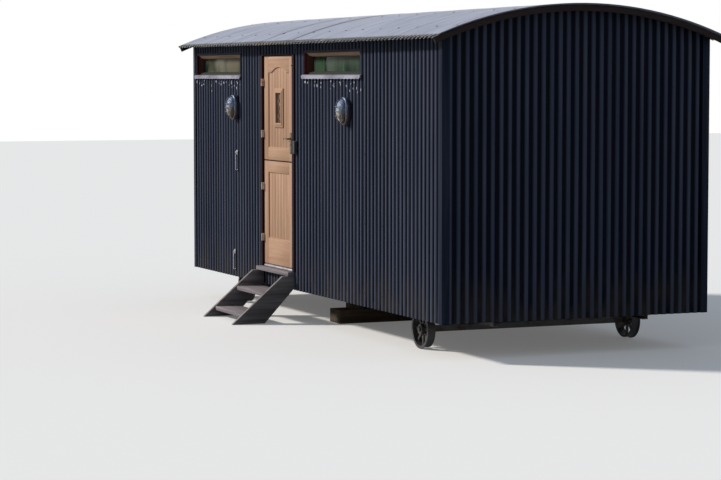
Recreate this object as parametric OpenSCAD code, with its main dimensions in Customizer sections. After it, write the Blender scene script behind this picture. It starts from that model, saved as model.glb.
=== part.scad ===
// Shepherds hut with a bow-top corrugated roof, dark corrugated walls, a stable door and steps.
// X runs along the hut, Y across it (the door side faces -Y) and Z up from the ground.

/* [Body] */
// Length of the body over its corrugated walls
body_l = 6100; // [5400:50:6600]
// Width of the body over its corrugated walls
body_w = 2470; // [2300:10:2700]
// Height of the top of the floor boards above the ground
floor_z = 470; // [440:1:520]
// Height of the lower edge of the walls above the ground
skirt_z = 300; // [240:5:330]
// Thickness of a framed wall behind its corrugated sheets
wall_t = 90; // [60:5:130]
// Thickness of the floor boards
floor_t = 22; // [16:1:30]
// Depth of a floor joist
joist_h = 95; // [70:5:110]
// Width of a floor joist
joist_w = 45; // [35:1:70]
// Number of floor joists
joist_count = 13; // [9:1:16]

/* [Roof] */
// Rise of the middle of the roof sheets, at the crown, above the top of the door leaves
crown_rise = 390.5; // [380:0.5:500]
// Radius of the middle of the roof sheets
roof_r = 3500; // [3200:10:4200]
// Reach of the roof past the long walls
eave_out = 135; // [80:5:160]
// Reach of the roof sheets past the end walls
gable_out = 105; // [70:5:120]
// How much lower the middle roof sheets end than the outer ones
eave_sag = 14; // [0:1:20]
// Thickness of the roof boards
deck_t = 18; // [12:1:24]
// Reach of the roof boards past the long walls
deck_out = 60; // [30:5:75]
// Depth of the curved verge board at each end
verge_h = 45; // [35:1:60]
// Thickness of the verge board
verge_t = 24; // [16:1:30]
// Reach of the roof sheets past the verge board
verge_drip = 18; // [8:1:25]
// Number of roof sheets
roof_sheet_count = 8; // [6:1:10]

/* [Corrugated sheets] */
// Distance from one corrugation to the next
pitch = 76.2; // [70:0.1:82]
// Overall depth of the corrugations
wave_h = 18; // [14:1:22]
// Thickness of the painted sheet
sheet_t = 2; // [1.5:0.1:3]
// Corrugations by which roof sheets lap
lap_wave_count = 1.5; // [1:0.5:2]
// First corrugation left of the door, from the left corner
left_lead = 26; // [10:1:76]
// First corrugation right of the door, from the door frame
right_lead = 35; // [10:1:76]
// First corrugation of an end wall, from the corner
end_lead = 74; // [20:1:90]
// Width of each leg of a corner trim
trim_w = 68; // [40:1:90]
// Thickness of a corner trim
trim_t = 3; // [2:0.5:5]

/* [Door] */
// Place of the middle of the door along the hut
door_x = -613; // [-800:1:-500]
// Width of the door leaves
leaf_w = 762; // [640:1:780]
// Height of each door leaf
leaf_h = 988; // [900:2:992]
// Thickness of the door leaves
leaf_t = 44; // [38:1:50]
// Running gap round the leaves
leaf_gap = 8.5; // [8:0.5:10]
// Gap where the two leaves meet
meet_gap = 5; // [5:0.5:8]
// Face width of the door frame
jamb_w = 56; // [36:1:70]
// Part of the frame's head that shows below the sheets
head_show = 6; // [4:1:30]
// Reach of the door frame past the wall sheets
frame_proud = 8; // [4:1:20]
// Depth of the leaves' faces behind the face of the door frame
leaf_in = 20; // [4:1:24]
// Width of the door stop behind the leaves
stop_w = 14; // [8:1:20]
// Thickness of the door sill
sill_t = 20; // [14:1:34]
// Width of the stiles of a leaf
stile_w = 105; // [80:1:130]
// Depth of the recessed boards in a leaf
panel_in = 10; // [4:1:14]
// Rise of the arched head of the upper panel
arch_h = 50; // [30:5:80]
// Width of each shoulder beside the arch
shoulder_w = 80; // [60:1:120]
// Width of the moulding round a panel
moulding_w = 10; // [6:1:16]
// Width of the glazed light in the upper leaf
light_w = 220; // [180:1:240]
// Height of the glazed light in the upper leaf
light_h = 370; // [300:2:420]
// Face width of the moulding round the light
light_frame = 44; // [30:1:60]
// Height of a hinge
hinge_h = 70; // [60:5:100]
// Distance of a hinge's middle from the end of its leaf
hinge_inset = 248; // [150:5:300]

/* [Windows] */
// Distance of the left window from the left end of the hut
left_window_in = 95; // [90:5:300]
// Distance of the right window from the door frame
right_window_gap = 225; // [150:5:400]
// Width of a window opening
window_w = 1335; // [1000:5:1350]
// Depth of the lower edge of a window opening below the crown
window_drop = 594; // [540:1:620]
// Height of a window opening
window_h = 248; // [180:1:250]
// Thickness of the window lining
lining_t = 22; // [16:1:32]
// Distance of the sash behind the face of the walls
sash_in = 35; // [20:1:50]
// Face width of the sash
sash_w = 34; // [28:1:40]
// Thickness of the sash
sash_t = 56; // [52:1:64]
// Distance of the glass behind the face of the walls
glass_in = 75; // [55:1:80]
// Thickness of the glass
glass_t = 6; // [4:1:8]
// Height of a window sill's front
window_sill_h = 42; // [30:1:60]
// Rise of a window sill above the lower edge of its opening
window_sill_up = 28; // [15:1:35]
// Reach of a window sill past each side of its opening
window_sill_ear = 20; // [10:1:22]
// Reach of a window sill past the wall sheets
window_sill_out = 18; // [12:1:50]

/* [Lamps and small fittings] */
// Depth of the middle of the lamps below the lower edge of a window opening
lamp_drop = 293; // [200:1:450]
// Distance of the left lamp from the middle of its window
left_lamp_off = 540; // [300:5:560]
// Distance of the right lamp from the middle of its window
right_lamp_off = 375; // [200:5:560]
// Height of a lamp
lamp_h = 250; // [200:5:280]
// Width of a lamp
lamp_w = 170; // [140:5:190]
// Depth of a lamp's case
lamp_d = 52; // [40:1:60]
// Reach of a lamp's guard past its case
guard_out = 62; // [50:1:66]
// Thickness of the bars of the guard
guard_d = 7; // [5:0.5:9]

/* [Steps] */
// Reach of the steps past each side of the door leaves
steps_past = 34; // [10:2:100]
// Rise of each step
step_rise = 187; // [160:1:190]
// Going of each step
step_going = 216; // [200:1:250]
// Reach of the top board past the wall sheets
top_board_out = 65; // [45:1:80]
// Thickness of the treads
tread_t = 38; // [25:1:45]
// Thickness of the stringers
stringer_t = 38; // [25:1:50]

/* [Chassis] */
// Distance between the middles of the chassis beams
beam_gap = 1400; // [1200:10:1600]
// Depth of a chassis beam
beam_h = 100; // [80:5:110]
// Flange width of a chassis beam
beam_w = 50; // [40:1:70]
// Thickness of the steel in a chassis beam
beam_t = 7; // [5:0.5:9]
// Distance of an axle from the end of the hut
axle_in = 900; // [700:50:1300]
// Distance between the middles of the wheels on an axle
wheel_gap = 1960; // [1800:10:2000]
// Diameter of a wheel
wheel_d = 330; // [300:5:336]
// Width of a wheel's tread
wheel_w = 75; // [50:1:90]
// Side of the square axle
axle_s = 50; // [40:1:60]
// Width of the pads that carry the beams on an axle
pad_w = 120; // [80:5:200]
// Radius of an axle's ends
axle_r = 19; // [14:1:24]
// Height of the timber bearer under the middle of the chassis
bearer_h = 125; // [100:5:140]
// Width of the timber bearer
bearer_w = 250; // [150:10:300]
// Reach of the timber bearer past the middle of each beam
bearer_out = 200; // [100:10:300]

/* [Hidden] */

seat = 0.3;
past = 1;
clear = 2;
half_l = body_l / 2;
half_w = body_w / 2;
wave_a = (wave_h - sheet_t) / 2;
facets = 8;
round_fn = 48;
roof_fn = 360;

// Heights that stand on the floor: the two leaves, then the crown above them
leaf_z = floor_z + sill_t + leaf_gap;
upper_z = leaf_z + leaf_h + meet_gap;
leaf_top = upper_z + leaf_h;
crown_z = leaf_top + crown_rise;

// Roof: one circle about an axis along X gives every curved piece its radius
roof_axis_z = crown_z - roof_r;
sheet_in_r = roof_r - wave_h / 2;
deck_r = sheet_in_r - seat;
deck_in_r = deck_r - deck_t;
roof_waves = round((body_l + 2 * gable_out) / pitch);
roof_l = roof_waves * pitch;
verge_x = roof_l / 2 - verge_drip - verge_t;
sheet_waves = roof_waves / roof_sheet_count;
over_lift = sheet_t + seat;

// Walls: outer face of the framing, just behind the troughs of the sheets
wall_y = half_w - wave_h - seat;
wall_x = half_l - wave_h - seat;
room_y = wall_y - wall_t;
room_x = wall_x - wall_t;

sheet_end = trim_t + clear;
eave_z = roof_axis_z + sqrt(pow(deck_in_r, 2) - pow(half_w, 2)) - clear;

// Door: frame, leaves and hinge axis
frame_y = -half_w - frame_proud;
leaf_y = frame_y + leaf_in;
leaf_back_y = leaf_y + leaf_t;
leaf_left = door_x - leaf_w / 2;
frame_in_l = leaf_left - leaf_gap;
frame_in_w = leaf_w + 2 * leaf_gap;
frame_out_l = frame_in_l - jamb_w;
frame_out_w = frame_in_w + 2 * jamb_w;
frame_out_r = frame_out_l + frame_out_w;
frame_depth = -room_y - frame_y;
stop_gap = 6;
stop_y = leaf_back_y + stop_gap;
head_z = leaf_top + leaf_gap;
frame_top = head_z + jamb_w;
hinge_r = 6;
hinge_x = leaf_left - leaf_gap / 2;
hinge_y = frame_y - hinge_r;
hinge_plate_t = 2;
hinge_grip = 32;

// Rails of the leaves and the light in the upper one
top_rail = 101;
upper_bottom_rail = 118;
lower_top_rail = 107;
lower_bottom_rail = 242;
moulding_in = 4;
groove_step = 79;
groove_w = 7;
light_drop = 305;
light_z = leaf_top - light_drop - light_h / 2;
light_proud = 12;
light_step = 5;
light_rebate = 4;

// Lever: its middle on the leaf, its neck and its spindle through the leaf
lever_up = 215;
lever_in = 62;
lever_z = upper_z + lever_up;
lever_x = leaf_left + leaf_w - lever_in;
neck_r = 9;
spindle_r = 5;
plate_t = 4;

// Hooks beside the far edges of the open leaves: their reach past that edge and the height of their
// eyes above the foot of the leaf that each one holds
open_edge = leaf_left - leaf_w;
hook_high_out = -34;
hook_low_out = 64;
hook_high_up = 48.5;
hook_low_up = 51.5;
hooks = [
    [open_edge - hook_high_out, upper_z + hook_high_up],
    [open_edge - hook_low_out, leaf_z + hook_low_up]];

// Windows
window_left_x = -half_l + left_window_in + window_w / 2;
window_right_x = frame_out_r + right_window_gap + window_w / 2;
window_z = crown_z - window_drop;
sash_y = -half_w + sash_in;
glass_y = -half_w + glass_in;
rebate = 8;

// Lamps
lamp_left_x = window_left_x + left_lamp_off;
lamp_right_x = window_right_x + right_lamp_off;
lamp_z = window_z - lamp_drop;
lamp_run = (lamp_h - lamp_w) / 2;
guard_lap = 4;
lamp_base_t = 12;

// Steps: treads hang between the stringers, which stand against the wall sheets
steps_off = 5;
steps_x = door_x + steps_off;
steps_w = leaf_w + 2 * steps_past;
top_board_z = floor_z - seat;
top_board_lap = 12;
step_count = 2;
step_slope = step_rise / step_going;
string_lead = 48;
string_h = 210;
string_drop = 120;
steps_y = -half_w - seat;

// Chassis
joist_z = floor_z - floor_t - joist_h;
beam_z = joist_z - beam_h;
axle_x = half_l - axle_in;
axle_z = wheel_d / 2;

// Crest of the sheet left of the door that is nearest to x
function left_crest(x) =
    let (first = -half_l + sheet_end + left_lead)
    first + round((x - first) / pitch) * pitch;

function wave_xs(len, lead) = concat(
    [0],
    [for (j = [ceil(-lead * facets / pitch) : floor((len - lead) * facets / pitch)])
        let (x = lead + j * pitch / facets)
        if (x > past && x < len - past) x],
    [len]);

// Outline of a corrugated sheet: x along the sheet, y across it, a crest at x = lead
module wave_outline(len, lead) {
    xs = wave_xs(len, lead);
    ys = [for (x = xs) wave_a * cos(360 * (x - lead) / pitch)];
    last = len(xs) - 1;
    polygon(concat(
        [for (i = [0 : last]) [xs[i], ys[i] + sheet_t / 2]],
        [for (i = [last : -1 : 0]) [xs[i], ys[i] - sheet_t / 2]]));
}

// Upright sheet that runs along +X with its crests towards -Y, outer face on y = 0
module wall_sheet(len, lead, height) {
    translate([0, wave_h / 2, 0])
        mirror([0, 1, 0])
            linear_extrude(height)
                wave_outline(len, lead);
}

// Everything inside a cylinder about the roof axis
module inside_roof(r) {
    translate([0, 0, roof_axis_z])
        rotate([0, 90, 0])
            cylinder(h = roof_l, r = r, center = true, $fn = roof_fn);
}

// Curved strip between two radii, from x0 along +X, out to half_span on each side
module roof_strip(r_in, r_out, x0, len, half_span) {
    spread = asin(half_span / r_out);
    translate([x0 + len, 0, roof_axis_z])
        rotate([0, -90, 0])
            rotate([0, 0, -spread])
                rotate_extrude(angle = 2 * spread, $fn = roof_fn)
                    translate([r_in, 0])
                        square([r_out - r_in, len]);
}

// One curved corrugated roof sheet
module roof_sheet(index) {
    first = index * sheet_waves;
    lap = index % 2 == 1 ? lap_wave_count : 0;
    w0 = max(0, first - lap);
    w1 = min(roof_waves, first + sheet_waves + lap);
    len = (w1 - w0) * pitch;
    x0 = -roof_l / 2 + w0 * pitch;
    lift = index % 2 == 1 ? over_lift : 0;
    sag = eave_sag * (sin(180 * (index + 0.5) / roof_sheet_count) - 0.5);
    spread = asin((half_w + eave_out + sag) / roof_r);
    lead = (w1 - floor(w1)) * pitch;
    translate([x0 + len, 0, roof_axis_z])
        rotate([0, -90, 0])
            rotate([0, 0, -spread])
                rotate_extrude(angle = 2 * spread, $fn = roof_fn)
                    translate([roof_r + lift, 0])
                        mirror([1, 0])
                            rotate(90)
                                wave_outline(len, lead);
}

module roof_sheets_under() {
    color("silver")
        for (i = [0 : 2 : roof_sheet_count - 1])
            roof_sheet(i);
}

module roof_sheets_over() {
    color("lightsteelblue")
        for (i = [1 : 2 : roof_sheet_count - 1])
            roof_sheet(i);
}

module roof_boards() {
    color("burlywood")
        roof_strip(deck_in_r, deck_r, -verge_x, 2 * verge_x, half_w + deck_out);
}

// Curved board under the ends of the sheets, against the ends of the roof boards
module verges() {
    color("sienna")
        for (x0 = [verge_x + seat, -verge_x - verge_t - seat])
            roof_strip(deck_r - verge_h, deck_r, x0, verge_t, half_w + eave_out - verge_drip);
}

// Steel channels with their open sides towards the middle of the hut
module chassis_beams() {
    color("dimgray")
        for (m = [0, 1])
            translate([-room_x, 0, beam_z])
                mirror([0, m, 0])
                    difference() {
                        translate([0, -beam_gap / 2 - beam_w / 2, 0])
                            cube([2 * room_x, beam_w, beam_h]);
                        translate([-past, -beam_gap / 2 - beam_w / 2 + beam_t, beam_t])
                            cube([2 * room_x + 2 * past, beam_w, beam_h - 2 * beam_t]);
                    }
}

// Square axle with a pad up to each beam and a round end for each wheel
module axles() {
    shoulder = 4;
    nose = 12;
    square_l = wheel_gap - wheel_w - 2 * shoulder;
    full_l = wheel_gap + wheel_w + 2 * nose;
    color("dimgray")
        for (x = [-axle_x, axle_x])
            translate([x, 0, 0]) {
                translate([-axle_s / 2, -square_l / 2, axle_z - axle_s / 2])
                    cube([axle_s, square_l, axle_s]);
                for (s = [-1, 1])
                    translate([-pad_w / 2, s * beam_gap / 2 - beam_w / 2, axle_z + axle_s / 2 - past])
                        cube([pad_w, beam_w, beam_z - axle_z - axle_s / 2 + past]);
                translate([0, 0, axle_z])
                    rotate([90, 0, 0])
                        cylinder(h = full_l, r = axle_r, center = true, $fn = round_fn);
            }
}

// Cast wheel: rim with a flange, hub and spokes
module wheel() {
    rim_t = 14;
    flange_t = 10;
    flange_h = 9;
    spoke_count = 8;
    spoke_w = 22;
    spoke_t = 18;
    hub_r = 44;
    bite = 3;
    rim_in_r = wheel_d / 2 - flange_h - rim_t;
    rotate([90, 0, 0]) {
        difference() {
            union() {
                cylinder(h = wheel_w, r = wheel_d / 2 - flange_h, center = true, $fn = 96);
                translate([0, 0, -wheel_w / 2])
                    cylinder(h = flange_t, r = wheel_d / 2, $fn = 96);
            }
            cylinder(h = wheel_w + 2 * past, r = rim_in_r, center = true, $fn = 96);
        }
        difference() {
            cylinder(h = wheel_w, r = hub_r, center = true, $fn = round_fn);
            cylinder(h = wheel_w + 2 * past, r = axle_r + seat, center = true, $fn = round_fn);
        }
        for (i = [0 : spoke_count - 1])
            rotate([0, 0, i * 360 / spoke_count])
                translate([hub_r - bite, -spoke_w / 2, -spoke_t / 2])
                    cube([rim_in_r - hub_r + 2 * bite, spoke_w, spoke_t]);
    }
}

module wheels() {
    color("darkslategray")
        for (x = [-axle_x, axle_x])
            for (m = [0, 1])
                mirror([0, m, 0])
                    translate([x, wheel_gap / 2, axle_z])
                        wheel();
}

// Sleeper under the middle of the chassis, with a packing block under each beam
module middle_bearer() {
    block_l = 150;
    block_w = 120;
    color("tan") {
        translate([-bearer_w / 2, -beam_gap / 2 - bearer_out, 0])
            cube([bearer_w, beam_gap + 2 * bearer_out, bearer_h]);
        for (s = [-1, 1])
            translate([-block_l / 2, s * beam_gap / 2 - block_w / 2, bearer_h - past])
                cube([block_l, block_w, beam_z - bearer_h + past]);
    }
}

module floor_joists() {
    span = 2 * room_x - joist_w;
    color("peru")
        for (i = [0 : joist_count - 1])
            translate([-room_x + i * span / (joist_count - 1), -room_y, joist_z])
                cube([joist_w, 2 * room_y, joist_h]);
}

module floor_boards() {
    color("wheat")
        translate([-room_x, -room_y, floor_z - floor_t])
            cube([2 * room_x, 2 * room_y, floor_t]);
}

// Plain slab of wall along the door side or the back, from x0 to x1, cut to the roof
module long_wall(x0, x1, z0, side) {
    y0 = side > 0 ? room_y : -wall_y;
    intersection() {
        translate([x0, y0, z0])
            cube([x1 - x0, wall_t, crown_z]);
        inside_roof(deck_in_r - seat);
    }
}

module window_hole(x) {
    translate([x - window_w / 2, -half_w - past, window_z])
        cube([window_w, half_w - room_y + 2 * past, window_h]);
}

module front_wall_left() {
    color("saddlebrown")
        difference() {
            long_wall(-wall_x, frame_out_l, skirt_z, -1);
            window_hole(window_left_x);
        }
}

module front_wall_right() {
    color("saddlebrown")
        difference() {
            long_wall(frame_out_r, wall_x, skirt_z, -1);
            window_hole(window_right_x);
        }
}

module front_wall_under_door() {
    color("saddlebrown")
        translate([frame_out_l, -wall_y, skirt_z])
            cube([frame_out_w, wall_t, floor_z - skirt_z]);
}

module front_wall_over_door() {
    color("saddlebrown")
        long_wall(frame_out_l, frame_out_r, frame_top, -1);
}

module back_wall() {
    color("saddlebrown")
        long_wall(-wall_x, wall_x, skirt_z, 1);
}

module end_wall(side) {
    x0 = side > 0 ? room_x : -wall_x;
    color("saddlebrown")
        intersection() {
            translate([x0, -room_y, skirt_z])
                cube([wall_t, 2 * room_y, crown_z]);
            inside_roof(deck_in_r - seat);
        }
}

module front_cladding() {
    left_x0 = -half_l + sheet_end;
    right_x1 = half_l - sheet_end;
    over_z = head_z + head_show;
    color([0.13, 0.15, 0.19])
        difference() {
            union() {
                translate([left_x0, -half_w, skirt_z])
                    wall_sheet(frame_out_l - left_x0, left_lead, eave_z - skirt_z);
                translate([frame_out_r, -half_w, skirt_z])
                    wall_sheet(right_x1 - frame_out_r, right_lead, eave_z - skirt_z);
                translate([frame_out_l, -half_w, over_z])
                    wall_sheet(frame_out_w, right_lead, eave_z - over_z);
                translate([frame_out_l, -half_w, skirt_z])
                    wall_sheet(frame_out_w, right_lead, floor_z - skirt_z - seat);
            }
            for (x = [window_left_x, window_right_x])
                translate([x - window_w / 2, -half_w - past, window_z])
                    cube([window_w, wave_h + 2 * past, window_h]);
        }
}

module back_cladding() {
    color([0.13, 0.15, 0.19])
        translate([half_l - sheet_end, half_w, skirt_z])
            rotate([0, 0, 180])
                wall_sheet(body_l - 2 * sheet_end, left_lead, eave_z - skirt_z);
}

// Sheets of an end wall, between the sheets of the long walls
module end_cladding(side) {
    inset = wave_h + 2 * seat;
    color([0.13, 0.15, 0.19])
        intersection() {
            rotate([0, 0, side > 0 ? 90 : -90])
                translate([-half_w + inset, -half_l, skirt_z])
                    wall_sheet(body_w - 2 * inset, end_lead - inset, crown_z - skirt_z);
            inside_roof(deck_in_r - seat);
        }
}

// Smooth folded angle over each corner of the wall sheets
module corner_trims() {
    color([0.11, 0.12, 0.15])
        for (sx = [0, 1])
            for (sy = [0, 1])
                mirror([sx, 0, 0])
                    mirror([0, sy, 0])
                        translate([half_l, half_w, skirt_z])
                            linear_extrude(eave_z - skirt_z)
                                difference() {
                                    translate([-trim_w, -trim_w])
                                        square(trim_w + trim_t + seat);
                                    translate([-trim_w - past, -trim_w - past])
                                        square(trim_w + past + seat);
                                }
}

// Rebated jamb: face part beside the leaf and a stop behind it
module jamb_outline() {
    stop_in = stop_y - frame_y;
    square([jamb_w, frame_depth]);
    translate([0, stop_in])
        square([jamb_w + stop_w, frame_depth - stop_in]);
}

// Jambs, and a head whose lower edge shows below the sheets while the rest lies behind them
module door_frame() {
    stop_d = -room_y - stop_y;
    color([0.35, 0.18, 0.14]) {
        for (m = [0, 1])
            translate([door_x, 0, 0])
                mirror([m, 0, 0])
                    translate([-frame_out_w / 2, frame_y, floor_z])
                        linear_extrude(head_z + head_show - seat - floor_z)
                            jamb_outline();
        translate([frame_out_l, frame_y, head_z])
            cube([frame_out_w, frame_depth, head_show - seat]);
        translate([frame_out_l, -wall_y, head_z])
            cube([frame_out_w, wall_t, jamb_w]);
        translate([frame_in_l, stop_y, head_z - stop_w])
            cube([frame_in_w, stop_d, stop_w + past]);
    }
}

// Metal sill between the jambs: a sloping front below the leaf and a flat part behind it
module door_sill() {
    nose = 5;
    nose_drop = 6;
    slope = 12;
    color([0.68, 0.68, 0.74])
        translate([frame_in_l + seat, 0, floor_z])
            rotate([90, 0, 90])
                linear_extrude(frame_in_w - 2 * seat)
                    polygon([
                        [leaf_y - nose, 0],
                        [leaf_y - nose, sill_t - nose_drop],
                        [leaf_y + slope, sill_t],
                        [stop_y - seat, sill_t],
                        [stop_y - seat, 0]]);
}

// Half of a butt hinge: its plate, which runs back past the leaf's face, and its share of the knuckles
module hinge_half(z, on_leaf) {
    knuckles = 5;
    step = hinge_h / knuckles;
    slack = 0.2;
    plate_x = on_leaf ? leaf_left - hinge_plate_t : frame_in_l;
    for (i = [on_leaf ? 1 : 0 : 2 : knuckles - 1]) {
        translate([hinge_x, hinge_y, z + i * step + slack])
            cylinder(h = step - 2 * slack, r = hinge_r, $fn = round_fn);
        translate([plate_x, hinge_y, z + i * step + slack])
            cube([hinge_plate_t, hinge_r + past, step - 2 * slack]);
    }
    translate([plate_x, frame_y, z])
        cube([hinge_plate_t, leaf_in + hinge_grip, hinge_h]);
}

module leaf_hinges(z) {
    color("lightgray")
        for (h = [hinge_inset, leaf_h - hinge_inset])
            hinge_half(z + h - hinge_h / 2, true);
}

module frame_hinges() {
    color("lightgray")
        for (z = [leaf_z, upper_z])
            for (h = [hinge_inset, leaf_h - hinge_inset])
                hinge_half(z + h - hinge_h / 2, false);
}

// Outline of a recessed panel: square, or with an arch between two shoulders
module panel_outline(w, h, rise) {
    arch_w = w - 2 * shoulder_w;
    arch_r = (arch_w * arch_w / 4 + rise * rise) / (2 * rise);
    square([w, h - rise]);
    if (rise > 0)
        intersection() {
            translate([shoulder_w, h - rise - past])
                square([arch_w, rise + past]);
            translate([w / 2, h - arch_r])
                circle(r = arch_r, $fn = roof_fn);
        }
}

// Grooves between the boards of a recessed panel, on its face at y = 0
module grooves(w, h) {
    boards = round(w / groove_step);
    for (i = [1 : boards - 1])
        translate([i * w / boards, 0, -past])
            linear_extrude(h + 2 * past)
                polygon([[-groove_w / 2, -past], [0, groove_w / 2], [groove_w / 2, -past]]);
}

// Framed leaf: a moulding steps down to recessed, grooved boards on its outer side
module leaf(z, bottom_rail, upper_rail, rise) {
    panel_w = leaf_w - 2 * stile_w;
    panel_h = leaf_h - bottom_rail - upper_rail;
    board_w = panel_w - 2 * moulding_w;
    board_h = panel_h - 2 * moulding_w;
    translate([leaf_left, leaf_y, z])
        difference() {
            cube([leaf_w, leaf_t, leaf_h]);
            translate([stile_w, moulding_in, bottom_rail])
                rotate([90, 0, 0])
                    linear_extrude(moulding_in + past)
                        panel_outline(panel_w, panel_h, rise);
            translate([stile_w + moulding_w, panel_in, bottom_rail + moulding_w])
                rotate([90, 0, 0])
                    linear_extrude(panel_in + past)
                        panel_outline(board_w, board_h, rise);
            intersection() {
                translate([stile_w + moulding_w, panel_in, bottom_rail + moulding_w])
                    grooves(board_w, board_h);
                translate([stile_w + moulding_w, panel_in + groove_w, bottom_rail + moulding_w])
                    rotate([90, 0, 0])
                        linear_extrude(groove_w + past)
                            panel_outline(board_w, board_h - clear, rise);
            }
        }
}

// Upper leaf, cut through for its light and for the lever's spindle
module upper_leaf() {
    hole_w = light_w - 2 * light_frame + 2 * light_rebate;
    hole_h = light_h - 2 * light_frame + 2 * light_rebate;
    color([0.83, 0.66, 0.52])
        difference() {
            leaf(upper_z, upper_bottom_rail, top_rail, arch_h);
            translate([door_x - hole_w / 2, leaf_y - past, light_z - hole_h / 2])
                cube([hole_w, leaf_t + 2 * past, hole_h]);
            translate([lever_x, leaf_y - past, lever_z])
                rotate([-90, 0, 0])
                    cylinder(h = leaf_t + 2 * past, r = spindle_r + clear, $fn = round_fn);
        }
}

module lower_leaf() {
    color([0.83, 0.66, 0.52])
        leaf(leaf_z, lower_bottom_rail, lower_top_rail, 0);
}

// Raised moulding round the light, seated on the recessed boards
module door_light_frame() {
    color([0.75, 0.58, 0.45])
        translate([door_x, leaf_y + panel_in - seat, light_z])
            rotate([90, 0, 0])
                difference() {
                    union() {
                        linear_extrude(light_proud)
                            square([light_w, light_h], center = true);
                        linear_extrude(light_proud + light_step)
                            square([light_w - light_frame, light_h - light_frame], center = true);
                    }
                    translate([0, 0, -past])
                        linear_extrude(light_proud + light_step + 2 * past)
                            square([light_w - 2 * light_frame, light_h - 2 * light_frame], center = true);
                }
}

module door_light_glass() {
    w = light_w - 2 * light_frame + 2 * light_rebate - 1;
    h = light_h - 2 * light_frame + 2 * light_rebate - 1;
    glazing = 6;
    color([0.7, 0.8, 0.85])
        translate([door_x - w / 2, leaf_y + panel_in, light_z - h / 2])
            cube([w, glazing, h]);
}

// Long plate with a collar round the lever's neck, on each side of the upper leaf
module handle_plates() {
    plate_w = 44;
    plate_h = 198;
    below = 140;
    collar_h = 10;
    collar_t = 5;
    color([0.8, 0.75, 0.6])
        for (m = [0, 1])
            translate([lever_x, leaf_y + m * leaf_t, lever_z])
                mirror([0, m, 0])
                    rotate([90, 0, 0])
                        difference() {
                            union() {
                                translate([-plate_w / 2, -below, 0])
                                    cube([plate_w, plate_h, plate_t]);
                                cylinder(h = collar_h, r = neck_r + collar_t, $fn = round_fn);
                            }
                            translate([0, 0, -past])
                                cylinder(h = collar_h + 2 * past, r = neck_r + seat, $fn = round_fn);
                        }
}

// Levers on both sides of the leaf, on one spindle, pointing towards the hinges
module door_lever() {
    neck = 46;
    lever_r = 8;
    lever_l = 100;
    color([0.8, 0.75, 0.6])
        translate([lever_x, leaf_y, lever_z]) {
            rotate([-90, 0, 0])
                cylinder(h = leaf_t, r = spindle_r, $fn = round_fn);
            for (m = [0, 1])
                translate([0, m * leaf_t, 0])
                    mirror([0, m, 0])
                        rotate([90, 0, 0]) {
                            cylinder(h = neck, r = neck_r, $fn = round_fn);
                            translate([0, 0, neck - neck_r])
                                rotate([0, -90, 0])
                                    cylinder(h = lever_l, r = lever_r, $fn = round_fn);
                            translate([-lever_l, 0, neck - neck_r])
                                sphere(r = lever_r, $fn = round_fn);
                        }
        }
}

// Small case with a hinged cover, on the sheets beside the door frame
module key_box() {
    box_w = 50;
    box_h = 120;
    box_gap = 9;
    box_drop = 135;
    box_z = lever_z - box_drop;
    base_t = 9;
    cover_t = 19;
    lip = 3;
    color([0.1, 0.1, 0.11])
        translate([frame_out_r + box_gap, -half_w - seat, box_z])
            mirror([0, 1, 0]) {
                cube([box_w, base_t, box_h]);
                translate([lip, base_t - past, lip])
                    cube([box_w - 2 * lip, cover_t + past, box_h - 2 * lip]);
            }
}

// Long hooks that hang from an eye on a small plate
module door_hooks() {
    rod_r = 4;
    rod_l = 180;
    rod_out = 16;
    eye_r = 7;
    eye_lap = 3;
    tip_up = 8;
    plate_w = 26;
    plate_h = 44;
    plate_t = 4;
    color([0.75, 0.75, 0.78])
        for (p = hooks)
            translate([left_crest(p[0]), -half_w - seat, p[1]]) {
                translate([-plate_w / 2, -plate_t, -plate_h / 2])
                    cube([plate_w, plate_t, plate_h]);
                rotate([90, 0, 0])
                    cylinder(h = rod_out + rod_r + eye_lap, r = eye_r, $fn = round_fn);
                translate([0, -rod_out, -rod_l])
                    cylinder(h = rod_l, r = rod_r, $fn = round_fn);
                translate([0, -rod_out, -rod_l + tip_up])
                    rotate([90, 0, 0])
                        cylinder(h = rod_out, r = rod_r - 1, $fn = round_fn);
            }
}

// Four boards that line a window opening through the wall
module window_frame(x) {
    gap = 1;
    depth = half_w - room_y;
    color([0.45, 0.22, 0.15])
        difference() {
            translate([x - window_w / 2 + gap, -half_w, window_z + gap])
                cube([window_w - 2 * gap, depth, window_h - 2 * gap]);
            translate([x - window_w / 2 + lining_t, -half_w - past, window_z + lining_t])
                cube([window_w - 2 * lining_t, depth + 2 * past, window_h - 2 * lining_t]);
        }
}

// Sash set back in each lining, grooved for its glass
module window_sashes() {
    out = lining_t + seat;
    in = lining_t + sash_w;
    groove = in - rebate;
    color([0.5, 0.26, 0.16])
        for (x = [window_left_x, window_right_x])
            difference() {
                translate([x - window_w / 2 + out, sash_y, window_z + out])
                    cube([window_w - 2 * out, sash_t, window_h - 2 * out]);
                translate([x - window_w / 2 + in, sash_y - past, window_z + in])
                    cube([window_w - 2 * in, sash_t + 2 * past, window_h - 2 * in]);
                translate([x - window_w / 2 + groove, glass_y - seat, window_z + groove])
                    cube([window_w - 2 * groove, glass_t + 2 * seat, window_h - 2 * groove]);
            }
}

module window_glass() {
    edge = lining_t + sash_w - rebate + seat;
    color([0.75, 0.82, 0.86])
        for (x = [window_left_x, window_right_x])
            translate([x - window_w / 2 + edge, glass_y, window_z + edge])
                cube([window_w - 2 * edge, glass_t, window_h - 2 * edge]);
}

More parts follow.
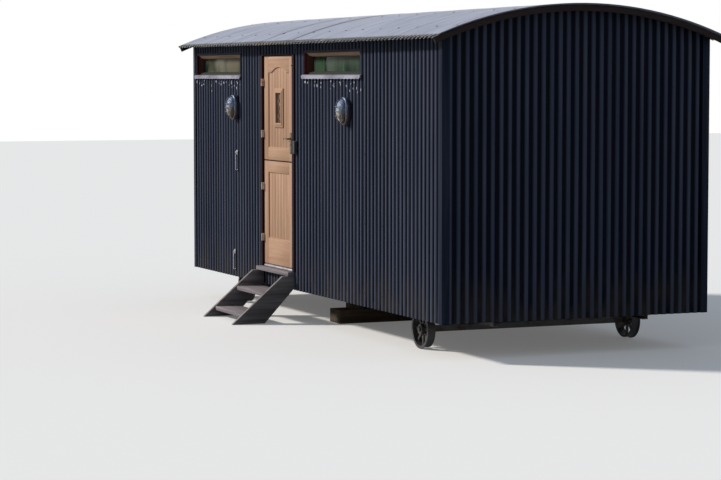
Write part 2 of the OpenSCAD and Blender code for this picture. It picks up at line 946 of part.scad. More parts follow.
// Metal sill over the lower edge of each lining: a sloping top and a deep front
module window_sills() {
    top = window_sill_up;
    slope = 8;
    color([0.72, 0.72, 0.78])
        for (x = [window_left_x, window_right_x])
            translate([x - window_w / 2 - window_sill_ear, -half_w - seat, window_z])
                rotate([90, 0, 90])
                    linear_extrude(window_w + 2 * window_sill_ear)
                        polygon([
                            [-window_sill_out, top - window_sill_h],
                            [-window_sill_out, top - slope],
                            [0, top],
                            [0, top - window_sill_h]]);
}

// Oval outline of a lamp, grown by a margin
module lamp_outline(grow) {
    r = lamp_w / 2 + grow;
    for (s = [-1, 1])
        translate([0, s * lamp_run])
            circle(r = r, $fn = 96);
    translate([-r, -lamp_run])
        square([2 * r, 2 * lamp_run]);
}

module lamp_places() {
    for (x = [lamp_left_x, lamp_right_x])
        translate([x, -half_w - seat, lamp_z])
            rotate([90, 0, 0])
                children();
}

// Half hoop of the guard, over the glass from side to side
module guard_hoop(r) {
    intersection() {
        rotate([90, 0, 0])
            difference() {
                cylinder(h = guard_d, r = r, center = true, $fn = 96);
                cylinder(h = guard_d + 2 * past, r = r - guard_d, center = true, $fn = 96);
            }
        translate([-r - past, -guard_d, 0])
            cube([2 * r + 2 * past, 2 * guard_d, r + past]);
    }
}

// Cast cases, each with a guard of three hoops, two side bars and a bar down the middle
module lamps() {
    wall = 22;
    hoop_r = guard_out + guard_lap;
    color([0.7, 0.72, 0.74])
        lamp_places() {
            difference() {
                linear_extrude(lamp_d)
                    lamp_outline(0);
                translate([0, 0, lamp_base_t])
                    linear_extrude(lamp_d)
                        lamp_outline(-wall);
            }
            for (s = [-1, 0, 1])
                translate([0, s * lamp_run, lamp_d - guard_lap])
                    guard_hoop(hoop_r);
            for (s = [-1, 1])
                translate([s * (hoop_r - guard_d / 2) - guard_d / 2, -lamp_run, lamp_d - guard_lap])
                    cube([guard_d, 2 * lamp_run, guard_d + guard_lap]);
            translate([-guard_d / 2, -lamp_run, lamp_d - guard_lap + hoop_r - guard_d])
                cube([guard_d, 2 * lamp_run, guard_d]);
        }
}

// Long domed glasses, seated in the cases
module lamp_glasses() {
    glass_r = 50;
    seat_in = 14;
    centre = lamp_d - seat_in;
    color([0.85, 0.88, 0.86])
        lamp_places()
            intersection() {
                translate([0, 0, centre]) {
                    rotate([90, 0, 0])
                        cylinder(h = 2 * lamp_run, r = glass_r, center = true, $fn = round_fn);
                    for (s = [-1, 1])
                        translate([0, s * lamp_run, 0])
                            sphere(r = glass_r, $fn = round_fn);
                }
                translate([-lamp_w, -lamp_h, lamp_base_t + seat])
                    cube([2 * lamp_w, 2 * lamp_h, 2 * lamp_d]);
            }
}

// Stringers against the wall sheets, cut level at the ground and under the top board
module stringers() {
    top = top_board_z - tread_t - seat;
    head = top_board_out + string_lead;
    foot = head + top / step_slope;
    back = string_h / sin(atan(step_slope));
    color([0.55, 0.54, 0.52])
        for (x = [-steps_w / 2, steps_w / 2 - stringer_t])
            translate([steps_x + x + stringer_t, steps_y, 0])
                rotate([90, 0, -90])
                    linear_extrude(stringer_t)
                        polygon([
                            [foot, 0],
                            [head, top],
                            [0, top],
                            [0, top - string_drop],
                            [foot - back, 0]]);
}

module treads() {
    inner = steps_w - 2 * stringer_t - 2 * seat;
    tread_lap = 30;
    color([0.58, 0.57, 0.55])
        for (i = [1 : step_count])
            translate([
                steps_x - inner / 2,
                steps_y - top_board_out - i * step_going,
                top_board_z - i * step_rise - tread_t])
                cube([inner, step_going + tread_lap, tread_t]);
}

module top_board() {
    color([0.58, 0.57, 0.55])
        translate([steps_x - steps_w / 2 - top_board_lap, steps_y - top_board_out, top_board_z - tread_t])
            cube([steps_w + 2 * top_board_lap, top_board_out, tread_t]);
}

chassis_beams();
axles();
wheels();
middle_bearer();
floor_joists();
floor_boards();
front_wall_left();
front_wall_right();
front_wall_over_door();
front_wall_under_door();
back_wall();
end_wall(-1);  // end_wall_left
end_wall(1);  // end_wall_right
front_cladding();
back_cladding();
end_cladding(-1);  // end_cladding_left
end_cladding(1);  // end_cladding_right
corner_trims();
roof_boards();
roof_sheets_under();
roof_sheets_over();
verges();
door_frame();
door_sill();
frame_hinges();
upper_leaf();
lower_leaf();
leaf_hinges(upper_z);  // upper_leaf_hinges
leaf_hinges(leaf_z);  // lower_leaf_hinges
door_light_frame();
door_light_glass();
handle_plates();
door_lever();
key_box();
door_hooks();
window_frame(window_left_x);  // window_frame_left
window_frame(window_right_x);  // window_frame_right
window_sashes();
window_glass();
window_sills();
lamps();
lamp_glasses();
stringers();
treads();
top_board();
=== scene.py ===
import random
from contextlib import contextmanager
from math import asin, atan, atan2, ceil, cos, floor, hypot, pi, radians, sin

import bpy
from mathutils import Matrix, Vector


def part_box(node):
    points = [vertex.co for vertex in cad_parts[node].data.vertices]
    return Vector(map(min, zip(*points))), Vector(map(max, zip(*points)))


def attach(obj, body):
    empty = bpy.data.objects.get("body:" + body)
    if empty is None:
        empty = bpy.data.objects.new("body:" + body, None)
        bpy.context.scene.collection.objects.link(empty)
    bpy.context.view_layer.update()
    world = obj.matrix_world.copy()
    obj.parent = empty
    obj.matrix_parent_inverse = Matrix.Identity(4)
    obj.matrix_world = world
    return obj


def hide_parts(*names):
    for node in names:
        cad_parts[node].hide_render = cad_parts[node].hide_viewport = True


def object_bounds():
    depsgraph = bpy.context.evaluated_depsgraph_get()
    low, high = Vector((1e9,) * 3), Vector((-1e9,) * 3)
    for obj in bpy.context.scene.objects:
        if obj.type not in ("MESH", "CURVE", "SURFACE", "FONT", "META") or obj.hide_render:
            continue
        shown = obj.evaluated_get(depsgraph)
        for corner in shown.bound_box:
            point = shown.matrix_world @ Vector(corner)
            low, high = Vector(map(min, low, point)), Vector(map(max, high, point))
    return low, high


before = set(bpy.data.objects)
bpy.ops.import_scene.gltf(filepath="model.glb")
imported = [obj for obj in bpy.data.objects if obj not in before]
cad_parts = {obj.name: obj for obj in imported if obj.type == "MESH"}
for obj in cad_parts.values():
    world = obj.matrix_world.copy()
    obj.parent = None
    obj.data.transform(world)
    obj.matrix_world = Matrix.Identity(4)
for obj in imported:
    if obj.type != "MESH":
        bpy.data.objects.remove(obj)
cad_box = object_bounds()
bpy.ops.object.select_all(action="DESELECT")
chance = random.Random(7)

# Chassis. Two steel channels lie across a pair of square axles, welded up and brushed with dark
# primer that has let some rust through. The four cast wheels run on the ends of the axles.


def tone(red, green, blue):
    """A colour given in 0 to 255 parts, as the shader's linear values."""
    parts = [c / 255 for c in (red, green, blue)]
    return tuple(c / 12.92 if c <= 0.04045 else ((c + 0.055) / 1.055) ** 2.4 for c in parts)


def shader_of(mat):
    """The material's shader."""
    return mat.node_tree.nodes["Principled BSDF"]


def finish(name, colour, roughness, metallic=0.0, gloss=0.5, clear=0.0, ior=1.5):
    """A new material with its shader's plain values."""
    mat = bpy.data.materials.new(name)
    mat.use_nodes = True
    for socket, value in (("Base Color", (*colour, 1)), ("Roughness", roughness), ("Metallic", metallic),
                          ("Specular IOR Level", gloss), ("Transmission Weight", clear), ("IOR", ior)):
        shader_of(mat).inputs[socket].default_value = value
    return mat


def join_up(mat, value, socket):
    """Puts a number, a colour or another node's output on a socket."""
    if isinstance(value, bpy.types.NodeSocket):
        mat.node_tree.links.new(value, socket)
    elif isinstance(value, tuple):
        socket.default_value = (*value, 1) if len(value) == 3 else value
    else:
        socket.default_value = value


def place(mat, stretch=(1, 1, 1), shift=(0, 0, 0)):
    """The piece's own coordinates, stretched and shifted."""
    nodes = mat.node_tree.nodes
    mapping = nodes.new("ShaderNodeMapping")
    mapping.inputs["Scale"].default_value = stretch
    mapping.inputs["Location"].default_value = shift
    join_up(mat, nodes.new("ShaderNodeTexCoord").outputs["Object"], mapping.inputs["Vector"])
    return mapping.outputs["Vector"]


def noise(mat, scale, stretch=(1, 1, 1), detail=3.0, shift=(0, 0, 0)):
    """Cloudy pattern on the piece's own coordinates."""
    texture = mat.node_tree.nodes.new("ShaderNodeTexNoise")
    texture.inputs["Scale"].default_value = scale
    texture.inputs["Detail"].default_value = detail
    join_up(mat, place(mat, stretch, shift), texture.inputs["Vector"])
    return texture.outputs[0]


def ranged(mat, value, low, high, first=0.0, last=1.0):
    """A value between low and high, spread between first and last."""
    node = mat.node_tree.nodes.new("ShaderNodeMapRange")
    for socket, number in (("Value", value), ("From Min", low), ("From Max", high),
                           ("To Min", first), ("To Max", last)):
        join_up(mat, number, node.inputs[socket])
    return node.outputs["Result"]


def mixed(mat, amount, first, second):
    """Two colours mixed by an amount."""
    node = mat.node_tree.nodes.new("ShaderNodeMix")
    node.data_type = "RGBA"
    for socket, value in ((0, amount), (6, first), (7, second)):
        join_up(mat, value, node.inputs[socket])
    return node.outputs[2]


def coloured(mat, colour):
    """Gives the shader its colour from a pattern."""
    join_up(mat, colour, shader_of(mat).inputs["Base Color"])


def roughened(mat, value):
    """Gives the shader its roughness from a pattern."""
    join_up(mat, value, shader_of(mat).inputs["Roughness"])


def mottled(mat, pattern, span, first, second, rough=None):
    """Colours a material between two tones by a pattern, and roughens it by the same one."""
    coloured(mat, mixed(mat, ranged(mat, pattern, *span) if span else pattern, first, second))
    if rough:
        roughened(mat, ranged(mat, pattern, *rough))


def relief(mat, height, distance):
    """Gives the shader a bump from a pattern, on top of any that it has."""
    bump = mat.node_tree.nodes.new("ShaderNodeBump")
    bump.inputs["Strength"].default_value = 1.0
    bump.inputs["Distance"].default_value = distance
    join_up(mat, height, bump.inputs["Height"])
    normal = shader_of(mat).inputs["Normal"]
    if normal.is_linked:
        join_up(mat, normal.links[0].from_socket, bump.inputs["Normal"])
    join_up(mat, bump.outputs["Normal"], normal)


def clothed(piece, mat):
    """Gives one object its finish."""
    piece.data.materials.clear()
    piece.data.materials.append(mat)
    return piece


def covered(mat, *nodes):
    """Gives the nodes that stay as packed their finish."""
    for node in nodes:
        clothed(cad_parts[node], mat)


primer = finish("brushed_primer", tone(46, 47, 50), 0.55)
grime = mixed(primer, noise(primer, 3, detail=2), tone(40, 41, 44), tone(62, 60, 58))
mottled(primer, noise(primer, 14, detail=6), (0.55, 0.72), grime, tone(104, 62, 38), (0.5, 0.7, 0.45, 0.85))
relief(primer, noise(primer, 60, detail=4), 0.0006)
covered(primer, "chassis_beams", "axles")

cast_paint = finish("cast_wheel_paint", tone(52, 54, 56), 0.6)
mottled(cast_paint, noise(cast_paint, 22, detail=6), (0.56, 0.66), tone(52, 54, 57), tone(112, 72, 46))
relief(cast_paint, noise(cast_paint, 120, detail=3), 0.0008)
covered(cast_paint, "wheels")

# Middle bearer. A railway sleeper lies under the middle of the chassis, with a packing block
# below each channel. It is rough, split and grey with age.


def maths(mat, how, first, second=0.0):
    """One sum on two values."""
    node = mat.node_tree.nodes.new("ShaderNodeMath")
    node.operation = how
    join_up(mat, first, node.inputs[0])
    join_up(mat, second, node.inputs[1])
    return node.outputs[0]


def times(mat, first, second):
    """One value times another."""
    return maths(mat, "MULTIPLY", first, second)


def laid_over(mat, amount, colour, *span):
    """Lays a colour over what the material shows so far, by an amount or a span of a pattern."""
    shown = shader_of(mat).inputs["Base Color"].links[0].from_socket
    coloured(mat, mixed(mat, ranged(mat, amount, *span) if span else amount, shown, colour))


def cells(mat, scale, stretch=(1, 1, 1), shift=(0, 0, 0)):
    """How far each point lies from the middle of its cell in a pattern of cells."""
    texture = mat.node_tree.nodes.new("ShaderNodeTexVoronoi")
    texture.inputs["Scale"].default_value = scale
    join_up(mat, place(mat, stretch, shift), texture.inputs["Vector"])
    return texture.outputs["Distance"]


def timber(name, pale, dark, along, roughness, knots=0.0, coarse=1.0, lift=0.0004, gloss=0.15):
    """Wood with its figure and fibre running along one axis, and knots if there are any."""
    mat = finish(name, pale, roughness, gloss=gloss)
    long_way = {"X": (0.055, 1, 1), "Y": (1, 0.055, 1), "Z": (1, 1, 0.055)}[along]
    figure = noise(mat, 26 * coarse, long_way, 3.5)
    fibre = noise(mat, 190 * coarse, tuple(c if c == 1 else 0.02 for c in long_way), 2)
    shade = maths(mat, "ADD", ranged(mat, figure, 0.36, 0.66, 0, 0.72),
                  ranged(mat, fibre, 0.3, 0.75, 0, 0.38))
    coloured(mat, mixed(mat, shade, pale, dark))
    laid_over(mat, noise(mat, 3.2, detail=2, shift=(5, 3, 1)), dark, 0.4, 0.75, 0, 0.35)
    if knots:
        knot = cells(mat, knots, tuple(c if c == 1 else 0.55 for c in long_way), (0.31, 0.7, 0.13))
        laid_over(mat, times(mat, ranged(mat, knot, 0.09, 0.03), 0.6), tuple(c * 0.35 for c in dark))
    roughened(mat, ranged(mat, fibre, 0.3, 0.7, roughness - 0.08, roughness + 0.1))
    relief(mat, maths(mat, "ADD", fibre, times(mat, figure, 0.5)), lift)
    return mat


covered(timber("old_sleeper", tone(120, 108, 92), tone(70, 58, 46), "Y", 0.85, coarse=0.7, lift=0.002),
        "middle_bearer")

# Floor. Sawn joists lie across the channels and carry planed redwood boards, each 120 mm wide and
# running the length of the hut, with a fine dark line at each joint.


def along(mat, axis):
    """How far along X, Y or Z a point of the piece lies."""
    node = mat.node_tree.nodes.new("ShaderNodeSeparateXYZ")
    join_up(mat, place(mat), node.inputs[0])
    return node.outputs[axis]


def part_way(mat, axis, width, start=0.0):
    """How far through its own board or sheet a point lies, from 0 to 1, where all have one width."""
    way = maths(mat, "SUBTRACT", along(mat, axis), start) if start else along(mat, axis)
    return maths(mat, "FRACT", times(mat, way, 1 / width))


def boarded(mat, axis, width, share, depth, dark, groove=0.0):
    """Draws the joints between boards of one width, and cuts a groove there."""
    joint = maths(mat, "LESS_THAN", part_way(mat, axis, width), share)
    laid_over(mat, times(mat, joint, depth), dark)
    if groove:
        relief(mat, times(mat, joint, -1.0), groove)


covered(timber("sawn_joists", tone(196, 168, 124), tone(150, 118, 78), "Y", 0.8, knots=5, lift=0.001),
        "floor_joists")
planed = timber("planed_floor", tone(190, 144, 98), tone(142, 98, 60), "X", 0.42, knots=3)
boarded(planed, 1, 0.12, 0.02, 0.8, tone(48, 32, 20), 0.001)
covered(planed, "floor_boards")

# Framed walls. Studs with insulation between them are lined inside with narrow tongued and
# grooved boards, painted a warm white.
inside = finish("lining_paint", tone(226, 220, 206), 0.5)
mottled(inside, noise(inside, 5, detail=4), None, tone(228, 222, 208), tone(212, 204, 188))
boarded(inside, 2, 0.095, 0.05, 0.45, tone(110, 102, 90), 0.0015)
covered(inside, "front_wall_left", "front_wall_right", "front_wall_over_door", "front_wall_under_door",
        "back_wall", "end_wall_left", "end_wall_right")

# Wall sheets. Three inch corrugated steel, ten corrugations to a sheet, lapped by one at the sides
# and fixed with dome headed screws. It is brushed with a blue black paint that has weathered.
pitch = 0.0762
swell = 0.008
sheet_metal = 0.001


def alone(piece=None):
    """Deselects everything, and then selects one piece if it is given."""
    bpy.ops.object.select_all(action="DESELECT")
    if piece:
        piece.select_set(True)
        bpy.context.view_layer.objects.active = piece


@contextmanager
def edited(piece):
    """Opens a piece in edit mode with all of it selected, and closes it afterwards."""
    bpy.context.view_layer.objects.active = piece
    bpy.ops.object.mode_set(mode="EDIT")
    bpy.ops.mesh.select_all(action="SELECT")
    yield
    bpy.ops.object.mode_set(mode="OBJECT")


def named(name):
    """Names the primitive that was just added and fixes its place in its mesh."""
    bpy.context.object.name = name
    bpy.ops.object.transform_apply()
    return bpy.context.object


def drawn(name, points, closed=False):
    """An outline drawn by extruding one point from place to place, filled where it is closed."""
    alone()
    bpy.ops.mesh.primitive_plane_add(size=0.01, location=points[0])
    with edited(bpy.context.object):
        bpy.ops.mesh.merge(type="CENTER")
        for here, there in zip(points, points[1:]):
            step = tuple(b - a for a, b in zip(here, there))
            bpy.ops.mesh.extrude_region_move(TRANSFORM_OT_translate={"value": step})
        if closed:
            bpy.ops.mesh.select_all(action="SELECT")
            bpy.ops.mesh.edge_face_add()
    return named(name)


def pushed(piece, step):
    """Extrudes all of an outline one way and closes it round."""
    with edited(piece):
        bpy.ops.mesh.extrude_region_move(TRANSFORM_OT_translate={"value": step})
        bpy.ops.mesh.select_all(action="SELECT")
        bpy.ops.mesh.normals_make_consistent(inside=False)
    return piece


def worked(piece, kind, **settings):
    """Adds a modifier with its settings and applies it."""
    bpy.context.view_layer.objects.active = piece
    tool = piece.modifiers.new(kind, kind)
    for key, value in settings.items():
        setattr(tool, key, value)
    bpy.ops.object.modifier_apply(modifier=tool.name)
    return piece


def row(piece, count, step, **settings):
    """Repeats a piece along X, a step apart."""
    return worked(piece, "ARRAY", count=count, use_relative_offset=False, use_constant_offset=True,
                  constant_offset_displace=(step, 0, 0), **settings)


def sawn_off(piece, point, normal):
    """Cuts away what lies beyond a plane, and closes the cut."""
    with edited(piece):
        bpy.ops.mesh.bisect(plane_co=point, plane_no=normal, clear_outer=True, use_fill=True)
    return piece


def plank(name, low, high, ease):
    """A squared length between two corners, with its edges eased."""
    alone()
    bpy.ops.mesh.primitive_cube_add(size=1, location=[(a + b) / 2 for a, b in zip(low, high)],
                                    scale=[b - a for a, b in zip(low, high)])
    piece = named(name)
    if ease:
        with edited(piece):
            bpy.ops.mesh.bevel(offset=ease, segments=2, affect="EDGES")
    return piece


def cut(piece, tool, how="DIFFERENCE"):
    """Cuts one piece with another, which is then thrown away."""
    worked(piece, "BOOLEAN", object=tool, operation=how, solver="EXACT")
    bpy.data.objects.remove(tool)


def joined(name, pieces):
    """Makes one piece of several."""
    alone(pieces[0])
    for piece in pieces:
        piece.select_set(True)
    if len(pieces) > 1:
        bpy.ops.object.join()
    pieces[0].name = name
    return pieces[0]


def moved(piece, step):
    """Moves a piece by a step and fixes its place in its mesh."""
    alone(piece)
    bpy.ops.transform.translate(value=step)
    bpy.ops.object.transform_apply()
    return piece


def turned(piece, angle, about=(0, 0, 0), axis=2):
    """Turns a piece about a point and fixes its place in its mesh."""
    moved(piece, [-c for c in about])
    piece.rotation_euler[axis] = angle
    bpy.ops.object.transform_apply()
    return moved(piece, about)


def fitted(piece, mat, body, slot, *nodes):
    """Gives a piece its finish, smooths its soft edges and fixes it to its body."""
    if mat is not None:
        clothed(piece, mat)
    alone(piece)
    bpy.ops.object.shade_smooth_by_angle(angle=radians(32))
    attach(piece, body)
    if nodes:
        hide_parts(*nodes)


def marked(piece, depth_of):
    """Marks how deep in a corrugation each point of a sheet lies, from 0 at the crests to 1."""
    marks = piece.data.attributes.new("hollow", "FLOAT", "POINT")
    for vert, mark in zip(piece.data.vertices, marks.data):
        mark.value = depth_of(vert.co)
    return piece


def hollow(mat, low, high, first=0.0, last=1.0):
    """Reads that mark, and spreads what lies between low and high from first to last."""
    mark = mat.node_tree.nodes.new("ShaderNodeAttribute")
    mark.attribute_name = "hollow"
    return ranged(mat, mark.outputs["Fac"], low, high, first, last)


def waved(sheet, first, start, end):
    """Makes a sheet from its first corrugation, gives it its thickness and trims its sides."""
    row(sheet, ceil((end - first) / pitch) + 1, pitch, use_merge_vertices=True, merge_threshold=0.0005)
    worked(sheet, "SOLIDIFY", thickness=sheet_metal, offset=0)
    sawn_off(sheet, (start, 0, 0), (-1, 0, 0))
    return sawn_off(sheet, (end, 0, 0), (1, 0, 0))


def wall_sheet(start, end, low, high, crest, out, lift):
    """One sheet along X with its crests towards -Y, its highest face on y = out."""
    steps = 18
    first = crest - ceil((crest - start) / pitch + 1) * pitch
    middle = out + swell + sheet_metal / 2 - lift
    wave = [(first + i * pitch / steps, middle - swell * cos(2 * pi * i / steps), low)
            for i in range(steps + 1)]
    return waved(pushed(drawn("sheet", wave), (0, 0, high - low)), first, start, end)


def wall_run(start, end, low, high, crest, out):
    """Sheets side by side along a wall, every other one lapped over its neighbours."""
    cover, narrowest, lap, lift = 10 * pitch, 3 * pitch, 0.6 * pitch, 0.0012
    sheets = []
    edge = start
    while edge < end - 0.02:
        reach = min(end, edge + cover)
        if end - reach < narrowest:
            reach = end
        if len(sheets) % 2:
            sheets.append(wall_sheet(edge - lap, min(end, reach + lap), low, high, crest, out, lift))
        else:
            sheets.append(wall_sheet(edge, reach, low, high, crest, out, 0.0))
        edge = reach
    return sheets


paint = finish("weathered_wall_paint_and_painted_shade", tone(44, 52, 70), 0.5, gloss=0.03)
runs = noise(paint, 30, (1, 1, 0.03), 4)
mottled(paint, runs, (0.35, 0.7), tone(70, 78, 99), tone(90, 96, 113), (0.3, 0.75, 0.34, 0.58))
laid_over(paint, noise(paint, 1.6, (1, 1, 0.5), 4), tone(56, 64, 86), 0.45, 0.8, 0, 0.5)
# The hollows of the corrugations are darkened as painted shade, which leaves the crests lighter.
laid_over(paint, hollow(paint, 0.08, 0.62), tone(10, 15, 28))
dust = times(paint, ranged(paint, along(paint, 2), 0.75, 0.3, 0, 0.5),
             ranged(paint, noise(paint, 12, (1, 1, 0.3), 5), 0.35, 0.65))
laid_over(paint, dust, tone(84, 78, 72))
relief(paint, noise(paint, 5, (1, 1, 0.25), 3), 0.0022)
relief(paint, noise(paint, 220, (1, 1, 0.3), 2), 0.0002)

front_near, front_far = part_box("front_cladding")
front_y, low, high = front_near.y, front_near.z, front_far.z
frame_near, frame_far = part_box("door_frame")
upper_near, upper_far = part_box("upper_leaf")
door_left, door_right = frame_near.x, frame_far.x
left_crest, door_crest, right_crest = front_near.x + 0.026, door_left + 0.035, door_right + 0.035
sheets = wall_run(front_near.x, door_left, low, high, left_crest, front_y)
sheets += wall_run(door_right, front_far.x, low, high, right_crest, front_y)
sheets += wall_run(door_left, door_right, upper_far.z + 0.0145, high, door_crest, front_y)
sheets += wall_run(door_left, door_right, low, frame_near.z - 0.001, door_crest, front_y)
front = joined("front_wall_sheets", sheets)
windows = ("window_frame_left", "window_frame_right")
for window in windows:
    near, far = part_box(window)
    cut(front, plank("hole", (near.x - 0.001, front_y - 0.05, near.z - 0.001),
                     (far.x + 0.001, front_y + 0.05, far.z + 0.001), 0))
marked(front, lambda co: (co.y - front_y) / (2 * swell))
fitted(front, paint, "hut", "wall_paint", "front_cladding")

near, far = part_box("back_cladding")
sheets = wall_run(-far.x, -near.x, low, high, -far.x + 0.026, -far.y)
back = turned(joined("back_wall_sheets", sheets), pi)
marked(back, lambda co: (far.y - co.y) / (2 * swell))
fitted(back, paint, "hut", "wall_paint", "back_cladding")

roof_radius = 3.5
roof_axis = 2.870 - roof_radius
sheet_top_radius = 3.4722
end_crest = -1.161
for node, turn in (("end_cladding_right", pi / 2), ("end_cladding_left", -pi / 2)):
    near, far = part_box(node)
    end_x = max(abs(near.x), abs(far.x))
    sheets = wall_run(near.y, far.y, low, far.z, end_crest, -end_x)
    end_wall = turned(joined(node.replace("cladding", "wall_sheets"), sheets), turn)
    alone()
    bpy.ops.mesh.primitive_cylinder_add(vertices=256, radius=sheet_top_radius, depth=8,
                                        location=(0, 0, roof_axis), rotation=(0, pi / 2, 0))
    cut(end_wall, bpy.context.object, "INTERSECT")
    marked(end_wall, lambda co: (end_x - abs(co.x)) / (2 * swell))
    fitted(end_wall, paint, "hut", "wall_paint", node)

# Wall screws. Dome headed screws with a washer hold the sheets to the studs behind them, every
# fifth corrugation, and are painted over with the wall.
screw_step = 5 * pitch


def screw(name, at, radius, washer=0.0):
    """A dome headed screw that faces -Y, with its washer if it has one."""
    alone()
    bpy.ops.mesh.primitive_uv_sphere_add(segments=8, ring_count=6, radius=radius, location=at,
                                         rotation=(pi / 2, 0, 0), scale=(1, 1, 0.55))
    head = named(name)
    if washer:
        alone()
        bpy.ops.mesh.primitive_cylinder_add(vertices=12, radius=washer, depth=0.0016, location=at,
                                            rotation=(pi / 2, 0, 0))
        head = joined(name, [head, named("washer")])
    return head


def screw_row(x, y, height, count):
    """A row of wall screws at one height."""
    return row(screw("screw", (x, y, height), 0.005, 0.008), count, screw_step)


rows = []
for height in (0.42, 1.02, 1.62, 2.2):
    rows += [screw_row(left_crest + 2 * pitch, front_y, height, 5),
             screw_row(right_crest + pitch, front_y, height, 9),
             turned(screw_row(left_crest + pitch, front_y, height, 16), pi)]
    rows += [turned(screw_row(end_crest + 2 * pitch, -end_x, height, 6), turn) for turn in (pi / 2, -pi / 2)]
fitted(joined("wall_screws", rows), paint, "hut", "wall_paint")

# Corner trims. A folded angle of smooth sheet, painted with the walls, covers the edges of the
# corrugated sheets at each corner.
leg, fold, metal = 0.068, 0.005, 0.0014
corner_x, corner_y = [c - 0.0005 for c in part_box("corner_trims")[1][:2]]
outline = [(corner_x - dx, corner_y - dy, low) for dx, dy in (
    (leg, 0), (fold, 0), (fold * 0.3, fold * 0.3), (0, fold), (0, leg), (metal, leg), (metal, fold),
    (fold, metal), (leg, metal))]
trim = pushed(drawn("trim", outline, True), (0, 0, high - low))
trims = [trim]
for quarter, (side, end) in enumerate(((-1, 1), (-1, -1), (1, -1)), 1):
    alone(trim)
    bpy.ops.object.duplicate(linked=False)
    other = moved(bpy.context.object, ((side - 1) * corner_x, (end - 1) * corner_y, 0))
    trims.append(turned(other, quarter * pi / 2, (side * corner_x, end * corner_y, 0)))
trim_paint = finish("smooth_trim_paint", tone(34, 38, 52), 0.46, gloss=0.04)
mottled(trim_paint, noise(trim_paint, 26, (1, 1, 0.04), 4), (0.35, 0.7), tone(30, 36, 52), tone(50, 56, 72))
relief(trim_paint, noise(trim_paint, 4, (1, 1, 0.3), 3), 0.003)
fitted(joined("folded_corner_trims", trims), trim_paint, "hut", "trim_paint", "corner_trims")

# Roof. Boards bent over the hut carry eight curved three inch corrugated sheets, galvanised and
# dulled. They lap at their sides by a wave and a half, each a little over the next, and their
# screws go through the crests.
deck = timber("roof_boards", tone(186, 150, 104), tone(134, 98, 60), "X", 0.8, knots=3)
boarded(deck, 1, 0.14, 0.025, 0.8, tone(54, 38, 24))
covered(deck, "roof_boards")


def bent(piece, angle, steps, filled=False):
    """Spins an outline about the middle of the roof's curve."""
    with edited(piece):
        bpy.ops.mesh.spin(steps=steps, angle=angle, center=(0, 0, roof_axis), axis=(1, 0, 0))
        bpy.ops.mesh.select_all(action="SELECT")
        bpy.ops.mesh.remove_doubles(threshold=0.00005)
        if filled:
            bpy.ops.mesh.select_all(action="SELECT")
            bpy.ops.mesh.fill_holes(sides=0)
            bpy.ops.mesh.select_all(action="SELECT")
        bpy.ops.mesh.normals_make_consistent(inside=False)
    return piece


def on_curve(x, radius, angle):
    """A point above the hut at a radius and an angle from upright."""
    return (x, radius * sin(angle), roof_axis + radius * cos(angle))


def roof_sheet(start, end, reach):
    """One curved sheet between two places along the hut, whose far edge lies over the next sheet."""
    steps, rise, seat = 14, 0.0024, 0.0005
    spread = asin(reach / roof_radius)
    first = roof_start + floor((start - roof_start) / pitch) * pitch
    wave = [on_curve(first + i * pitch / steps, roof_radius + swell * cos(2 * pi * i / steps), -spread)
            for i in range(steps + 1)]
    sheet = waved(bent(drawn("roof_sheet", wave), 2 * spread, 28), first, start, end)
    for vert in sheet.data.vertices:
        out = Vector((0, vert.co.y, vert.co.z - roof_axis)).normalized()
        vert.co += out * (rise * (vert.co.x - start) / (end - start) - seat)
    return marked(sheet, lambda co: 0.5 - (hypot(co.y, co.z - roof_axis) - roof_radius) / (2 * swell))


roof_start = -41.5 * pitch
roof_end = cad_box[1].x - 0.0004
sheet_count = 8
cover = 2 * roof_end / sheet_count
lap = 1.5 * pitch
past_edge = 0.0015
shortest, bulge = 1.362, 0.014
edges = [k * cover - roof_end for k in range(sheet_count + 1)]
under, over = [], []
for k, (here, there) in enumerate(zip(edges, edges[1:])):
    reach = shortest + bulge * sin(pi * (k + 0.5) / sheet_count) + chance.uniform(-0.002, 0.001)
    sheet = roof_sheet(max(-roof_end, here - lap + past_edge), min(there + past_edge, roof_end), reach)
    (over if k % 2 else under).append(sheet)

zinc = finish("dulled_galvanised", tone(176, 182, 200), 0.46, 0.25, 0.3)
mottled(zinc, noise(zinc, 18, (1, 0.1, 0.16), 5), (0.38, 0.7), tone(188, 194, 213), tone(160, 166, 187),
        (0.3, 0.75, 0.36, 0.6))
laid_over(zinc, noise(zinc, 1.3, (1, 0.7, 1), 4), tone(168, 172, 191), 0.45, 0.75, 0, 0.5)
laid_over(zinc, cells(zinc, 55), tone(210, 212, 222), 0.2, 0.8, 0, 0.14)
# The hollows of the corrugations are darkened as painted shade.
laid_over(zinc, hollow(zinc, 0.3, 0.9, 0, 0.5), tone(112, 116, 134))
# A dark line of painted shadow lies along each lap. It is clearest at the lap over the middle of the hut.
shadow, shadow_start, clear_lap = 0.036, edges[0] - 0.038, edges[4]
line = maths(zinc, "LESS_THAN", part_way(zinc, 0, cover, shadow_start), shadow / cover)
off = maths(zinc, "ABSOLUTE", maths(zinc, "SUBTRACT", along(zinc, 0), clear_lap))
patchy_lap_shadow = ranged(zinc, noise(zinc, 1.1, (1, 0.3, 1)), 0.35, 0.65, 0.5, 1.1)
line = times(zinc, line, times(zinc, ranged(zinc, off, 0.3, 0.1, 0.16, 0.9), patchy_lap_shadow))
laid_over(zinc, line, tone(44, 44, 54))
